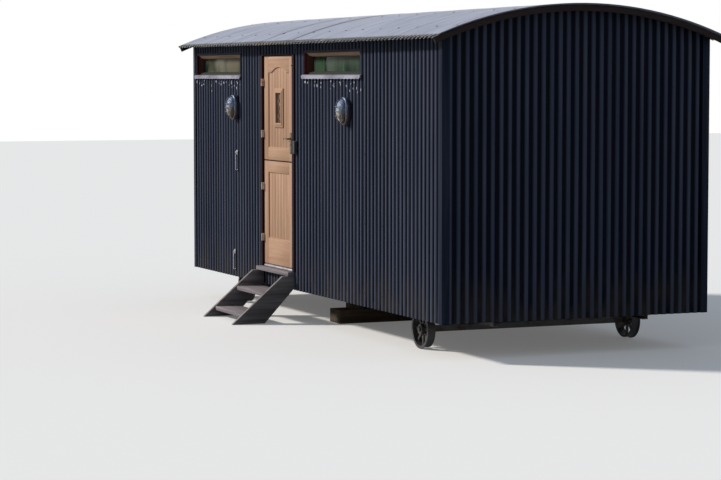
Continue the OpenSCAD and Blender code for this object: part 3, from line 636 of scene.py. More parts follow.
# At the eaves the cut ends carry a painted highlight on the crests and painted shade in the hollows.
wave = maths(zinc, "SINE", maths(zinc, "ADD", times(zinc, along(zinc, 0), 2 * pi / pitch), pi))
eave_highlight_and_shade = mixed(zinc, ranged(zinc, wave, 0.15, 0.5), tone(255, 255, 255), tone(16, 16, 22))
laid_over(zinc, maths(zinc, "ABSOLUTE", along(zinc, 1)), eave_highlight_and_shade, 1.300, 1.318)
relief(zinc, noise(zinc, 3, (1, 0.5, 0.5), 3), 0.002)
fitted(joined("lower_roof_sheets", under), zinc, "hut", "galvanised", "roof_sheets_under")
fitted(joined("upper_roof_sheets", over), zinc, "hut", "galvanised", "roof_sheets_over")


def driven(name, at, radius, angle=0.0, axis=2, washer=0.0):
    """A screw driven in at a place, turned from facing -Y."""
    return moved(turned(screw(name, (0, 0, 0), radius, washer), angle, axis=axis), at)


rows = []
for angle, first in ((-18.7, 2), (-9.4, 1), (0.0, 1), (9.4, 1), (18.7, 2)):
    top = (roof_start + first * pitch, 0, roof_axis + roof_radius + swell - 0.0004)
    head = driven("roof_screw", top, 0.0065, -pi / 2, 0, 0.0125)
    rows.append(row(turned(head, radians(-angle), (0, 0, roof_axis), 0), 17, screw_step))
rusted = finish("rusted_screw", tone(84, 76, 78), 0.7)
relief(rusted, noise(rusted, 300), 0.0003)
mottled(rusted, noise(rusted, 90), None, tone(66, 62, 68), tone(112, 92, 84))
fitted(joined("roof_screws", rows), rusted, "hut", "galvanised")

# Verges. A curved board of brown timber closes each end of the roof below its sheets. Its colour is
# made nearly black as painted shade.
verge_near, verge_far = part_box("verges")
low_r, high_r, ease, verge_w = 3.4457, 3.4905, 0.002, 0.024
spread = asin(1.352 / 3.4907)
brown = timber("verge_timber", tone(42, 33, 34), tone(32, 24, 24), "Y", 0.7, coarse=0.8, lift=0.0008)
boards = []
for inner_x in (verge_far.x - verge_w, verge_near.x):
    profile = [on_curve(inner_x + dx, r, -spread) for dx, r in (
        (ease, low_r), (verge_w - ease, low_r), (verge_w, low_r + ease), (verge_w, high_r - ease),
        (verge_w - ease, high_r), (ease, high_r), (0, high_r - ease), (0, low_r + ease), (ease, low_r))]
    boards.append(bent(drawn("verge", profile), 2 * spread, 32, True))
fitted(joined("curved_verge_boards", boards), brown, "hut", "verge_timber", "verges")

# Door frame. Jambs with a stop behind the leaves, and a head that the wall sheets nearly cover. It
# is hardwood, stained a deep red brown that the weather has darkened, and screwed to the walls.
frame_face, frame_back = frame_near.y, frame_far.y
stained = timber("stained_frame", tone(56, 22, 22), tone(30, 11, 13), "Z", 0.6, coarse=1.3, lift=0.0005,
                 gloss=0.05)
laid_over(stained, along(stained, 1), tone(34, 24, 32), frame_face + 0.004, frame_face + 0.001)


def prism(name, outline, step, ease, rounds=2):
    """A closed outline pushed one way, with its sharp edges eased."""
    return worked(pushed(drawn(name, outline, True), step), "BEVEL", width=ease, segments=rounds,
                  limit_method="ANGLE", angle_limit=radians(35))


door_mid = (upper_near.x + upper_far.x) / 2
leaf_face, leaf_back = upper_near.y, upper_far.y
gap = 0.0085
floor_top = frame_near.z
head_low = upper_far.z + gap
over_sheet = 0.0057
head_face = -1.2167
stop_face = leaf_back + 0.006
jamb_out = frame_near.x - door_mid
jamb_in = upper_near.x - gap - door_mid
stop_in = jamb_in + 0.014
jambs = []
for hand in (1, -1):
    outline = [(door_mid + hand * x, y, floor_top) for x, y in (
        (jamb_out, frame_face), (jamb_in, frame_face), (jamb_in, stop_face),
        (stop_in, stop_face), (stop_in, frame_back), (jamb_out, frame_back))]
    jambs.append(prism("jamb", outline, (0, 0, head_low + over_sheet - floor_top), 0.002))
for half, face, foot, top, ease in (
        (jamb_out, frame_face, head_low, head_low + over_sheet, 0.001),
        (jamb_out, head_face, head_low, frame_far.z, 0.002),
        (jamb_in, stop_face, head_low - 0.014, head_low + 0.001, 0.002)):
    jambs.append(plank("head", (door_mid + half, face, foot), (door_mid - half, frame_back, top), ease))
fitted(joined("stained_door_frame", jambs), stained, "hut", "frame_timber", "door_frame")

# Door sill. A bent aluminium strip between the jambs, with a sloping nose below the lower leaf.
# It has gone dull, and mud has dried in its corners.
sill_near, sill_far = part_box("door_sill")
dull_metal = finish("dull_sill_metal", tone(176, 172, 182), 0.5, 0.25)
mottled(dull_metal, noise(dull_metal, 18, (0.5, 1, 1), 5), (0.48, 0.75), tone(184, 180, 190),
        tone(120, 110, 104), (0.4, 0.7, 0.38, 0.8))
relief(dull_metal, noise(dull_metal, 60, (0.2, 1, 1), 3), 0.0006)
outline = [(sill_near.x, y, z) for y, z in (
    (sill_near.y, sill_near.z), (sill_near.y, sill_far.z - 0.008), (sill_near.y + 0.002, sill_far.z - 0.005),
    (leaf_face + 0.012, sill_far.z), (sill_far.y, sill_far.z), (sill_far.y, sill_near.z))]
fitted(prism("bent_door_sill", outline, (sill_far.x - sill_near.x, 0, 0), 0.0008), dull_metal, "hut",
       "sill_metal", "door_sill")

# Door leaves. Framed and boarded pine, oiled pale, 44 mm thick. Stiles run full height, the rails
# are tenoned between them, and V jointed boards fill the panels behind a planted moulding.
lower_near, lower_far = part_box("lower_leaf")
stile_w, bead_w, sunk, board_count = 0.105, 0.010, 0.010, 7
board_w = (upper_far.x - upper_near.x - 2 * (stile_w + bead_w)) / board_count
oiled = {"roughness": 0.5, "knots": 2.2, "lift": 0.0003}
pine = timber("oiled_pine", tone(199, 162, 136), tone(179, 138, 112), "Z", **oiled)
pine_across = timber("oiled_pine_rails", tone(197, 161, 133), tone(176, 137, 110), "X", **oiled)
pine_boards = timber("oiled_pine_boards", tone(199, 162, 136), tone(174, 134, 107), "Z", **oiled)


def apart(mat, value, mark):
    """How far a value lies from a mark, either way."""
    return maths(mat, "ABSOLUTE", maths(mat, "SUBTRACT", value, mark))


vee = apart(pine_boards, part_way(pine_boards, 0, board_w, upper_near.x + stile_w + bead_w), 0.5)
laid_over(pine_boards, vee, tone(96, 62, 44), 0.43, 0.49, 0, 0.75)
# The edge on the lock side carries a painted highlight, the edges that meet between the leaves are
# darkened as painted shade, and the top edge has bleached.
laid_over(pine, along(pine, 0), tone(240, 220, 208), upper_far.x - 0.040, upper_far.x - 0.034)
for mat in (pine, pine_across):
    off = apart(mat, along(mat, 2), (lower_far.z + upper_near.z) / 2)
    laid_over(mat, off, tone(66, 38, 24), 0.008, 0.005)
laid_over(pine_across, along(pine_across, 2), tone(216, 184, 160), upper_far.z - 0.024,
          upper_far.z - 0.018, 0, 0.6)


def arc(steps, first=0.0, last=2 * pi):
    """Cosine and sine of evenly spaced angles, for points round a curve."""
    turns = [first + (last - first) * i / steps for i in range(steps + 1)]
    return [(cos(turn), sin(turn)) for turn in turns]


def stepped(piece, y, steps):
    """Insets the flat face that lies at y in steps, each a width and a depth."""
    with edited(piece):
        bpy.ops.mesh.select_mode(type="FACE")
        bpy.ops.mesh.select_all(action="DESELECT")
    for face in piece.data.polygons:
        face.select = abs(face.center.y - y) < 0.0001
    bpy.ops.object.mode_set(mode="EDIT")
    for width, depth in steps:
        bpy.ops.mesh.inset(thickness=width, depth=depth)
    bpy.ops.mesh.select_mode(type="VERT")
    bpy.ops.object.mode_set(mode="OBJECT")


def leaf(name, near, far, foot, head, rise, opening=None):
    """One leaf of the door, with an arched or a square panel and an opening through its boards."""
    left, right = near.x + stile_w, far.x - stile_w
    low, high = near.z + foot, far.z - head
    outline = [(left, low), (right, low), (right, high - rise)]
    if rise:
        half = (right - left) / 2 - 0.08
        radius = (half * half + rise * rise) / (2 * rise)
        reach = asin(half / radius)
        outline += [(door_mid + radius * s, high - radius + radius * c) for c, s in arc(16, reach, -reach)]
    outline.append((left, high - rise))
    parts = [clothed(plank("stile", (x, leaf_face, near.z), (x + stile_w, leaf_back, far.z), 0.0018), pine)
             for x in (near.x, right)]
    parts.append(plank("foot_rail", (left, leaf_face, near.z), (right, leaf_back, low), 0.0012))
    top = plank("top_rail", (left, leaf_face, high - rise), (right, leaf_back, far.z), 0.0012)
    if rise:
        cut(top, pushed(drawn("arch", [(x, leaf_face - 0.01, z) for x, z in outline], True), (0, 0.1, 0)))
    parts.append(top)
    for rail in parts[2:]:
        clothed(rail, pine_across)
    front = leaf_face + 0.0006
    bead = pushed(drawn("planted_moulding", [(x, front, z) for x, z in outline], True), (0, 0.016, 0))
    stepped(bead, front, ((0.0015, 0.0005), (0.002, -0.0008), (0.0015, -0.0035), (0.0045, -0.0045),
                          (0.0005, -0.0062)))
    filling = [clothed(bead, pine)]
    for i in range(board_count):
        x = left + bead_w + i * board_w
        start = x - (0.004 if i == 0 else 0)
        end = x + board_w + (0.004 if i == board_count - 1 else 0)
        filling.append(clothed(plank("board", (start, leaf_face + sunk, low + 0.005),
                                     (end, leaf_back - 0.003, high - 0.005), 0.0032), pine_boards))
    if opening:
        for piece in filling:
            cut(piece, plank("opening", *opening, 0))
    return joined(name, parts + filling)


fitted(leaf("lower_door_leaf", lower_near, lower_far, 0.242, 0.107, 0), None, "lower_door", "door_timber",
       "lower_leaf")
glass_near, glass_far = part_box("door_light_glass")
hole = ((glass_near.x - 0.0004, leaf_face - 0.02, glass_near.z - 0.0004),
        (glass_far.x + 0.0004, leaf_back + 0.02, glass_far.z + 0.0004))
fitted(leaf("upper_door_leaf", upper_near, upper_far, 0.118, 0.101, 0.05, hole), None, "upper_door",
       "door_timber", "upper_leaf")

# Leaded light. A mitred moulding is planted round a small pane, which is held in lead cames laid
# in diamonds.
light_near, light_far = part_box("door_light_frame")
moulding_w = 0.044
light_mid = ((light_near.x + light_far.x) / 2, (light_near.z + light_far.z) / 2)
light_w = light_far.x - light_near.x - 2 * moulding_w
light_h = light_far.z - light_near.z - 2 * moulding_w


def mitred(name, profile, centre, width, height, upright, level):
    """A mitred frame in an upright plane. The profile gives reach from the opening and depth."""
    pieces = []
    for k in range(4):
        long, deep, mat = (height, width, upright) if k % 2 else (width, height, level)
        start = -long / 2 - max(d for d, y in profile) - 0.01
        side = pushed(drawn(name, [(start, y, -deep / 2 - d) for d, y in profile], True), (-2 * start, 0, 0))
        sawn_off(side, (-long / 2, 0, -deep / 2), (-1, 0, 1))
        sawn_off(side, (long / 2, 0, -deep / 2), (1, 0, 1))
        turned(side, k * pi / 2, axis=1)
        pieces.append(clothed(moved(side, (centre[0], 0, centre[1])), mat))
    return joined(name, pieces)


boards_face = leaf_face + sunk - 0.0003
profile = [(0, boards_face)] + [(d, light_near.y + y) for d, y in (
    (0, 0.003), (0.0015, 0.0006), (0.004, 0), (0.018, 0), (0.0205, 0.0012), (0.022, 0.005),
    (0.038, 0.0056), (0.042, 0.0075), (moulding_w, 0.011))] + [(moulding_w, boards_face)]
back = [(0, leaf_back - 0.003), (0, leaf_back), (0.018, leaf_back), (0.018, leaf_back - 0.003)]
rims = [mitred(name, outline, light_mid, light_w, light_h, pine, pine_across)
        for name, outline in (("light_moulding", profile), ("bead", back))]
fitted(joined("light_moulding", rims), None, "upper_door", "door_timber", "door_light_frame")

old_glass = finish("old_light_glass", tone(120, 98, 84), 0.12, gloss=0.15, clear=0.2, ior=1.46)
mottled(old_glass, noise(old_glass, 14, detail=2), (0.35, 0.7), tone(92, 70, 58), tone(150, 126, 106))
relief(old_glass, noise(old_glass, 40, detail=2), 0.0012)
fitted(plank("light_pane", glass_near, glass_far, 0.0006), old_glass, "upper_door", "leaded_glass",
       "door_light_glass")

lead = finish("lead_came", tone(44, 32, 28), 0.6, 0.2, 0.2)
mottled(lead, noise(lead, 60), None, tone(38, 27, 24), tone(66, 50, 44))
relief(lead, noise(lead, 120), 0.0004)
slope = atan2(light_h / 4, light_w / 2)
came_y = (glass_near.y + glass_far.y) / 2
cames = []
for hand in (1, -1):
    for k in (-3, -2, -1, 0, 1, 2, 3):
        came = plank("came", (-0.2, -0.0045, -0.0034), (0.2, 0.0045, 0.0034), 0.0014)
        turned(came, hand * slope, axis=1)
        moved(came, (light_mid[0], came_y, light_mid[1] + k * light_h / 4))
        for side in (1, -1):
            sawn_off(came, (light_mid[0] + side * light_w / 2, 0, 0), (side, 0, 0))
            sawn_off(came, (0, 0, light_mid[1] + side * light_h / 2), (0, 0, side))
        if len(came.data.vertices):
            cames.append(came)
        else:
            bpy.data.objects.remove(came)
fitted(joined("lead_cames", cames), lead, "upper_door", "leaded_glass")

# Hinges. Steel butt hinges, let into the edges of the leaves and the frame, with their knuckles in
# front. The upper pair has kept its brassed finish better than the lower ones.
butt = finish("butt_hinge_steel", tone(196, 190, 178), 0.38, 0.4)
tarnish = noise(butt, 45, detail=4)
mottled(butt, tarnish, (0.4, 0.7), tone(204, 200, 190), tone(148, 140, 126), (0.35, 0.7, 0.28, 0.55))
brassed = mixed(butt, ranged(butt, tarnish, 0.4, 0.7), tone(212, 180, 158), tone(166, 134, 112))
laid_over(butt, along(butt, 2), brassed, 1.9, 2.1)
relief(butt, noise(butt, 260), 0.0002)
covered(butt, "frame_hinges", "upper_leaf_hinges", "lower_leaf_hinges")
hinge_x = door_mid + jamb_in + 0.0022
hinge_screws = [driven("hinge_screw", (hinge_x, frame_face + deep, near.z + up + lift), 0.0035, pi / 2)
                for near in (lower_near, upper_near) for up in (0.248, 0.740)
                for lift, deep in ((-0.024, 0.0105), (0, 0.0135), (0.024, 0.0105))]
fitted(joined("hinge_screws", hinge_screws), butt, "hut", "hinge_steel")

# Lever and plates. A long brass plate on each face of the upper leaf carries a curved lever on a
# sprung spindle. Hands keep such a lever brighter than its plate, but both share one brass finish here.
brass = finish("worn_brass", tone(96, 80, 58), 0.45, 0.6)
mottled(brass, noise(brass, 30, detail=5), (0.38, 0.68), tone(118, 98, 72), tone(56, 44, 34),
        (0.35, 0.7, 0.3, 0.62))
relief(brass, noise(brass, 300), 0.00015)


def rounded(width, height, radius, middle, y):
    """Outline of an upright rectangle with round corners, at a depth y."""
    return [(middle[0] + h * (width / 2 - radius) + radius * c, y,
             middle[1] + v * (height / 2 - radius) + radius * s)
            for k, (h, v) in enumerate(((1, 1), (-1, 1), (-1, -1), (1, -1)))
            for c, s in arc(6, k * pi / 2, (k + 1) * pi / 2)]


def rod(name, points, radius, thin=1.0, sides=3):
    """A round bar along a path, thinner at its end if it tapers."""
    piece = drawn(name, points)
    bpy.ops.object.convert(target="CURVE")
    bar = piece.data
    bar.bevel_depth = radius
    bar.bevel_resolution = sides
    bar.use_fill_caps = True
    for i, point in enumerate(bar.splines[0].points):
        point.radius = 1 + (thin - 1) * i / (len(bar.splines[0].points) - 1)
    bpy.ops.object.convert(target="MESH")
    return piece


plate_near, plate_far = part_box("handle_plates")
plate_w, plate_h, plate_t, collar_r = 0.044, plate_far.z - plate_near.z, 0.0038, 0.0138
x = plate_near.x + plate_w / 2
z = plate_far.z - 0.058
plates, levers = [], []
for face, out in ((leaf_face, -1), (leaf_back, 1)):
    outline = rounded(plate_w, plate_h, 0.008, (x, plate_near.z + plate_h / 2), face)
    plates.append(prism("plate", outline, (0, out * plate_t, 0), 0.0012))
    collar = [(x + collar_r * c, face + out * 0.003, z + collar_r * s) for c, s in arc(32)[:-1]]
    plates.append(prism("collar", collar, (0, out * 0.0068, 0), 0.002))
    for up in (0.045, -0.065, -0.128):
        plates.append(driven("plate_screw", (x, face + out * plate_t, z + up), 0.0042, 0 if out < 0 else pi))
    levers.append(rod("spindle", [(x, face + out * 0.002, z), (x, face + out * 0.037, z)], 0.0085))
    path = [(x - 0.009 * (1 - c), face + out * (0.030 + 0.0075 * s), z) for c, s in arc(6, 0, pi / 2)]
    for way in [i / 10 for i in range(1, 11)]:
        path.append((x - 0.009 - 0.094 * way, face + out * (0.0375 - 0.004 * way * way),
                     z + 0.0035 * sin(pi * way) - 0.001 * way))
    levers.append(rod("lever", path, 0.0078, 0.62, 4))
    levers.append(rod("lever_end", [(x - 0.100, face + out * 0.0336, z - 0.001),
                                    (x - 0.1035, face + out * 0.0333, z - 0.001)], 0.0062))
fitted(joined("lever_plates", plates), brass, "upper_door", "handle_brass", "handle_plates")
fitted(joined("curved_levers", levers), brass, "lever", "handle_brass", "door_lever")

# Top catch. A small brassed bolt on the upper leaf meets a keep on the right jamb.
bolt_z = 2.389
keep_x = door_mid - jamb_in
for name, body, parts in (
        ("top_bolt", "upper_door", ((upper_far.x, leaf_face, -0.030, -0.004, 0.003, 0, 0.015, 0.001),
                                    (upper_far.x, leaf_face, -0.026, -0.003, 0.011, 0.002, 0.006, 0.003))),
        ("bolt_keep", "hut", ((keep_x, frame_face, 0.002, 0.026, 0.003, 0, 0.017, 0.001),
                              (keep_x, frame_face, 0.006, 0.019, 0.010, 0.002, 0.008, 0.003)))):
    blocks = [plank("catch", (edge + left, face - front, bolt_z - half),
                    (edge + right, face - back, bolt_z + half), ease)
              for edge, face, left, right, front, back, half, ease in parts]
    fitted(joined(name, blocks), brass, body, "handle_brass")

# Key box. A small moulded case with a dished cover, screwed to the sheets beside the door.
black_case = finish("black_case", tone(24, 25, 28), 0.5)
mottled(black_case, noise(black_case, 40), None, tone(20, 21, 24), tone(44, 45, 48))
relief(black_case, noise(black_case, 420), 0.0002)
near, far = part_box("key_box")
middle = ((near.x + far.x) / 2, (near.z + far.z) / 2)
height, case_deep = far.z - near.z, 0.009
case = prism("case", rounded(0.05, height, 0.008, middle, far.y), (0, -case_deep, 0), 0.002)
cover_y = far.y - case_deep + 0.001
cover = prism("cover", rounded(0.045, height - 0.005, 0.007, middle, cover_y), (0, near.y - cover_y, 0),
              0.003, 3)
stepped(cover, near.y, ((0.0016, 0), (0.001, -0.0012)))
catch = plank("catch", (middle[0] - 0.008, near.y - 0.0001, near.z + 0.008),
              (middle[0] + 0.008, near.y + 0.004, near.z + 0.016), 0.001)
fitted(joined("key_case", [case, cover, catch]), black_case, "hut", "key_box_case", "key_box")

# Door hooks. Long plated hooks hang from eyes on small plates, where the open leaves come to rest.
plated = finish("plated_hook", tone(206, 206, 210), 0.32, 0.85)
mottled(plated, noise(plated, 50, detail=4), (0.4, 0.7), tone(212, 212, 216), tone(140, 136, 132))
relief(plated, noise(plated, 240), 0.0002)
near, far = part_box("door_hooks")
plate_w, plate_h, plate_t, eye_r, top_r, tip_r, drop = 0.026, 0.044, 0.004, 0.0085, 0.006, 0.009, 0.168
wall_y, bar_y = far.y, far.y - 0.016
hooks = []
for x, z in ((far.x - plate_w / 2, far.z - plate_h / 2), (near.x + plate_w / 2, 0.55)):
    plate = rounded(plate_w, plate_h, 0.006, (x, z), wall_y)
    hooks.append(prism("hook_plate", plate, (0, -plate_t, 0), 0.001))
    hooks.append(rod("eye", [(x + eye_r * c, wall_y - 0.012 - eye_r * s, z) for c, s in arc(16)], 0.0026))
    hooks += [driven("plate_screw", (x, wall_y - plate_t, z + side * 0.016), 0.003) for side in (1, -1)]
    path = [(x + top_r * s, bar_y, z + 0.002 + top_r * c) for c, s in arc(4, 0, pi)]
    path += [(x, bar_y, z - 0.010), (x, bar_y, z - drop)]
    path += [(x, bar_y + tip_r * (1 - c), z - drop - tip_r * s) for c, s in arc(8, 0, pi)[1:-1]]
    hooks.append(rod("hook", path, 0.0036))
fitted(joined("hanging_hooks", hooks), plated, "hut", "hinge_steel", "door_hooks")

# Windows. A hardwood lining goes through the wall, with a sash set back in it against a thin bead.
# The wood is stained like the door frame, and its rails are much paler as a painted highlight.
sash_near, sash_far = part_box("window_sashes")
pane_near, pane_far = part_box("window_glass")
window_mid = (pane_near.z + pane_far.z) / 2
sash = timber("bleached_sash", tone(104, 68, 58), tone(58, 34, 34), "Z", 0.6, gloss=0.05)
lit_and_shaded_sash_rail = timber("sash_rails_painted_light_and_shade", tone(238, 200, 170), tone(188, 152, 128), "X", 0.6, gloss=0.05)
lining = timber("stained_lining", tone(140, 52, 48), tone(54, 18, 22), "Z", 0.6, coarse=1.4, gloss=0.05)
lining_board = timber("stained_lining_boards", tone(92, 66, 60), tone(56, 38, 38), "X", 0.6, gloss=0.05)
# The lower rails and boards are darkened with painted shade, and the front edges of the linings are grey.
for mat, lower_shade in ((lit_and_shaded_sash_rail, tone(62, 66, 58)), (lining_board, tone(46, 48, 46))):
    laid_over(mat, along(mat, 2), lower_shade, window_mid, window_mid + 0.02, 1, 0)
for mat in (lining, lining_board):
    laid_over(mat, along(mat, 1), tone(36, 34, 44), front_y + 0.005, front_y + 0.002)
glass = finish("window_pane", tone(50, 66, 58), 0.05, gloss=0.06, clear=0.15, ior=1.2)
# The streaked green of the panes is a painted reflection of foliage.
reflection_streaks = noise(glass, 9, (1, 1, 0.25), 4)
mottled(glass, reflection_streaks, (0.38, 0.66), tone(24, 42, 42), tone(74, 100, 76), (0.35, 0.7, 0.03, 0.16))
# The panes carry a painted reflection, tanner on those left of the door than on those right of it.
left_end, right_start = -0.9, -0.7
painted_reflection_tint = mixed(glass, ranged(glass, along(glass, 0), left_end, right_start), tone(124, 118, 98),
              tone(80, 92, 78))
laid_over(glass, noise(glass, 3.1, (1, 1, 0.7), 3, (2, 0, 1)), painted_reflection_tint, 0.42, 0.62)
lining_w, sash_w, rebate = 0.021, 0.034, 0.0075
beads, sashes, panes = [], [], []
for node in windows:
    near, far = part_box(node)
    middle = ((near.x + far.x) / 2, (near.z + far.z) / 2)
    width, height = far.x - near.x - 2 * lining_w, far.z - near.z - 2 * lining_w
    profile = [(0.002, front_y), (0, front_y + 0.002), (0, far.y - 0.002), (0.002, far.y),
               (lining_w, far.y), (lining_w, front_y)]
    fitted(mitred("lining", profile, middle, width, height, lining, lining_board), None, "hut",
           "window_timber", node)
    profile = [(d, sash_near.y + y) for d, y in (
        (-0.008, -0.009), (-0.010, -0.007), (-0.010, -0.0005), (-0.0003, -0.0005), (-0.0003, -0.009))]
    beads.append(mitred("bead", profile, middle, width, height, sash, lit_and_shaded_sash_rail))
    width, height = width - 2 * sash_w, height - 2 * sash_w
    profile = [(0, pane_near.y - 0.0003), (0, pane_near.y - 0.006), (0.002, pane_near.y - 0.010),
               (0.011, sash_near.y + 0.003), (0.014, sash_near.y), (sash_w - 0.0006, sash_near.y),
               (sash_w - 0.0006, sash_far.y), (0.002, sash_far.y), (0, sash_far.y - 0.002),
               (0, pane_far.y + 0.0003), (0.0078, pane_far.y + 0.0003), (0.0078, pane_near.y - 0.0003)]
    sashes.append(mitred("sash", profile, middle, width, height, sash, lit_and_shaded_sash_rail))
    half_w, half_h = width / 2 + rebate, height / 2 + rebate
    panes.append(plank("pane", (middle[0] - half_w, pane_near.y, middle[1] - half_h),
                       (middle[0] + half_w, pane_far.y, middle[1] + half_h), 0.0006))
fitted(joined("glazing_beads", beads), None, "hut", "window_timber")
fitted(joined("set_back_sashes", sashes), None, "hut", "window_timber", "window_sashes")
fitted(joined("window_panes", panes), glass, "hut", "clear_glass", "window_glass")

# Window sills. Soft grey metal is dressed over the lower edge of each lining, with round ears past
# its sides and a front edge that waves a little where it was beaten to the sheets.
dressed = finish("dressed_sill_metal", tone(176, 176, 194), 0.5, 0.2, 0.2)
mottled(dressed, noise(dressed, 10, (0.4, 1, 1), 5), (0.4, 0.72), tone(166, 166, 182), tone(110, 110, 126),
        (0.35, 0.7, 0.4, 0.7))
relief(dressed, noise(dressed, 26, (0.6, 1, 1), 3), 0.0022)
sill_near, sill_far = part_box("window_sills")
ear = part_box(windows[0])[0].x - sill_near.x
face, drop, rise, steps = sill_near.y, sill_near.z, sill_far.z - 0.008, 76
sills = []
for node in windows:
    near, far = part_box(node)
    left, right = near.x - ear, far.x + ear
    outline = [(left, face, rise - 0.004), (left + 0.004, face, rise), (right - 0.004, face, rise),
               (right, face, rise - 0.004)]
    for i in range(steps + 1):
        x = right + (left - right) * i / steps
        curl = 0.012 * max(0, 1 - min(x - left, right - x) / 0.014) ** 2
        beaten = 0.0026 * cos(2 * pi * (x - left) / pitch) + chance.uniform(-0.0009, 0.0009)
        outline.append((x, face, drop + 0.0035 + curl + beaten))
    sills.append(pushed(drawn("sill_front", outline, True), (0, 0.0025, 0)))
    sills.append(prism("sill_top", [(left, face, rise - 0.0018), (left, face + 0.0006, rise),
                                    (left, sill_far.y, sill_far.z), (left, sill_far.y, sill_far.z - 0.0025)],
                       (right - left, 0, 0), 0.0006))
    sills.append(plank("sill_core", (left + 0.003, face + 0.002, drop + 0.012),
                       (right - 0.003, sill_far.y, rise - 0.001), 0.001))
fitted(joined("dressed_window_sills", sills), dressed, "hut", "sill_metal", "window_sills")

# Dried splashes. Pale tufts and flecks have dried on the crests of the sheets, most of them close
# below the window sills.
dried = finish("dried_flecks", tone(176, 178, 194), 0.85, gloss=0.1)
mottled(dried, noise(dried, 200), None, tone(214, 214, 226), tone(136, 138, 156))
relief(dried, noise(dried, 400), 0.0004)
flecks = []
for node, crest in zip(windows, (left_crest, right_crest)):
    near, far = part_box(node)
    for k in range(ceil((near.x - crest) / pitch), ceil((far.x - crest) / pitch)):
        x = crest + k * pitch
        reach = 0.03 + 0.085 * abs(sin((x - near.x) * 3.7)) ** 1.5
        for n in range(chance.choice((0, 1, 2, 2, 3))):
            alone()
            bpy.ops.mesh.primitive_ico_sphere_add(
                subdivisions=2, radius=1, rotation=(0, chance.uniform(-1.1, 1.1), 0),
                location=(x + chance.uniform(-0.014, 0.014), front_y + 0.0006,
                          sill_near.z - 0.012 - reach * chance.random()),
                scale=(chance.uniform(0.005, 0.013), 0.0018, chance.uniform(0.006, 0.017)))
            flecks.append(named("fleck"))
fitted(joined("dried_flecks", flecks), dried, "hut", "wall_paint")

# Lamps. Oval bulkhead lamps of cast aluminium. A wire guard with three hoops closes over a long
# ribbed glass, and four screws fix each case to the wall sheets.
lamp_near, lamp_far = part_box("lamps")
lamp_z, case_y = (lamp_near.z + lamp_far.z) / 2, lamp_far.y
cast = finish("cast_lamp_metal", tone(78, 82, 94), 0.42, 0.4, 0.2)
pitted = noise(cast, 60, detail=5)
# The front of each case is bluish above and brownish below as painted reflections of sky and ground, and the case
# is darker towards the wall.
sky_and_ground_reflection = mixed(cast, ranged(cast, along(cast, 2), lamp_z - 0.05, lamp_z + 0.03), tone(128, 112, 108),
              tone(122, 138, 166))
mottled(cast, along(cast, 1), (case_y - 0.022, case_y - 0.04), tone(40, 42, 54), sky_and_ground_reflection)
laid_over(cast, pitted, tone(50, 48, 56), 0.42, 0.72, 0, 0.8)
roughened(cast, ranged(cast, pitted, 0.35, 0.7, 0.28, 0.6))
relief(cast, pitted, 0.0006)
ribbed = finish("ribbed_lamp_glass", tone(120, 132, 152), 0.12, gloss=0.3, clear=0.1, ior=1.3)
# The glass is painted with reflections, blue sky above and brown ground below, and with patches of painted
# highlight on its front.
upper_half = ranged(ribbed, along(ribbed, 2), lamp_z - 0.03, lamp_z + 0.03)
coloured(ribbed, mixed(ribbed, upper_half, tone(86, 70, 74), tone(104, 122, 154)))
glare = mixed(ribbed, upper_half, tone(244, 234, 216), tone(214, 228, 248))
dapple = ranged(ribbed, noise(ribbed, 55, (1, 1, 0.6), 4), 0.44, 0.58, 0.3, 1)
bright = times(ribbed, ranged(ribbed, hollow(ribbed, 0.0, 1.0), 0.8, 0.35), dapple)
laid_over(ribbed, bright, glare)
relief(ribbed, noise(ribbed, 90), 0.0004)
half_w, run, hoop, hoop_out, wire, rib = 0.085, 0.04, 0.071, 0.0625, 0.0028, 0.0132
flange, lug_r, lug_x, lug_z = 0.012, 0.009, 0.066, 0.076
wire_y, seat_r = case_y - 0.048, hoop + 0.003
cases, guards, domes = [], [], []
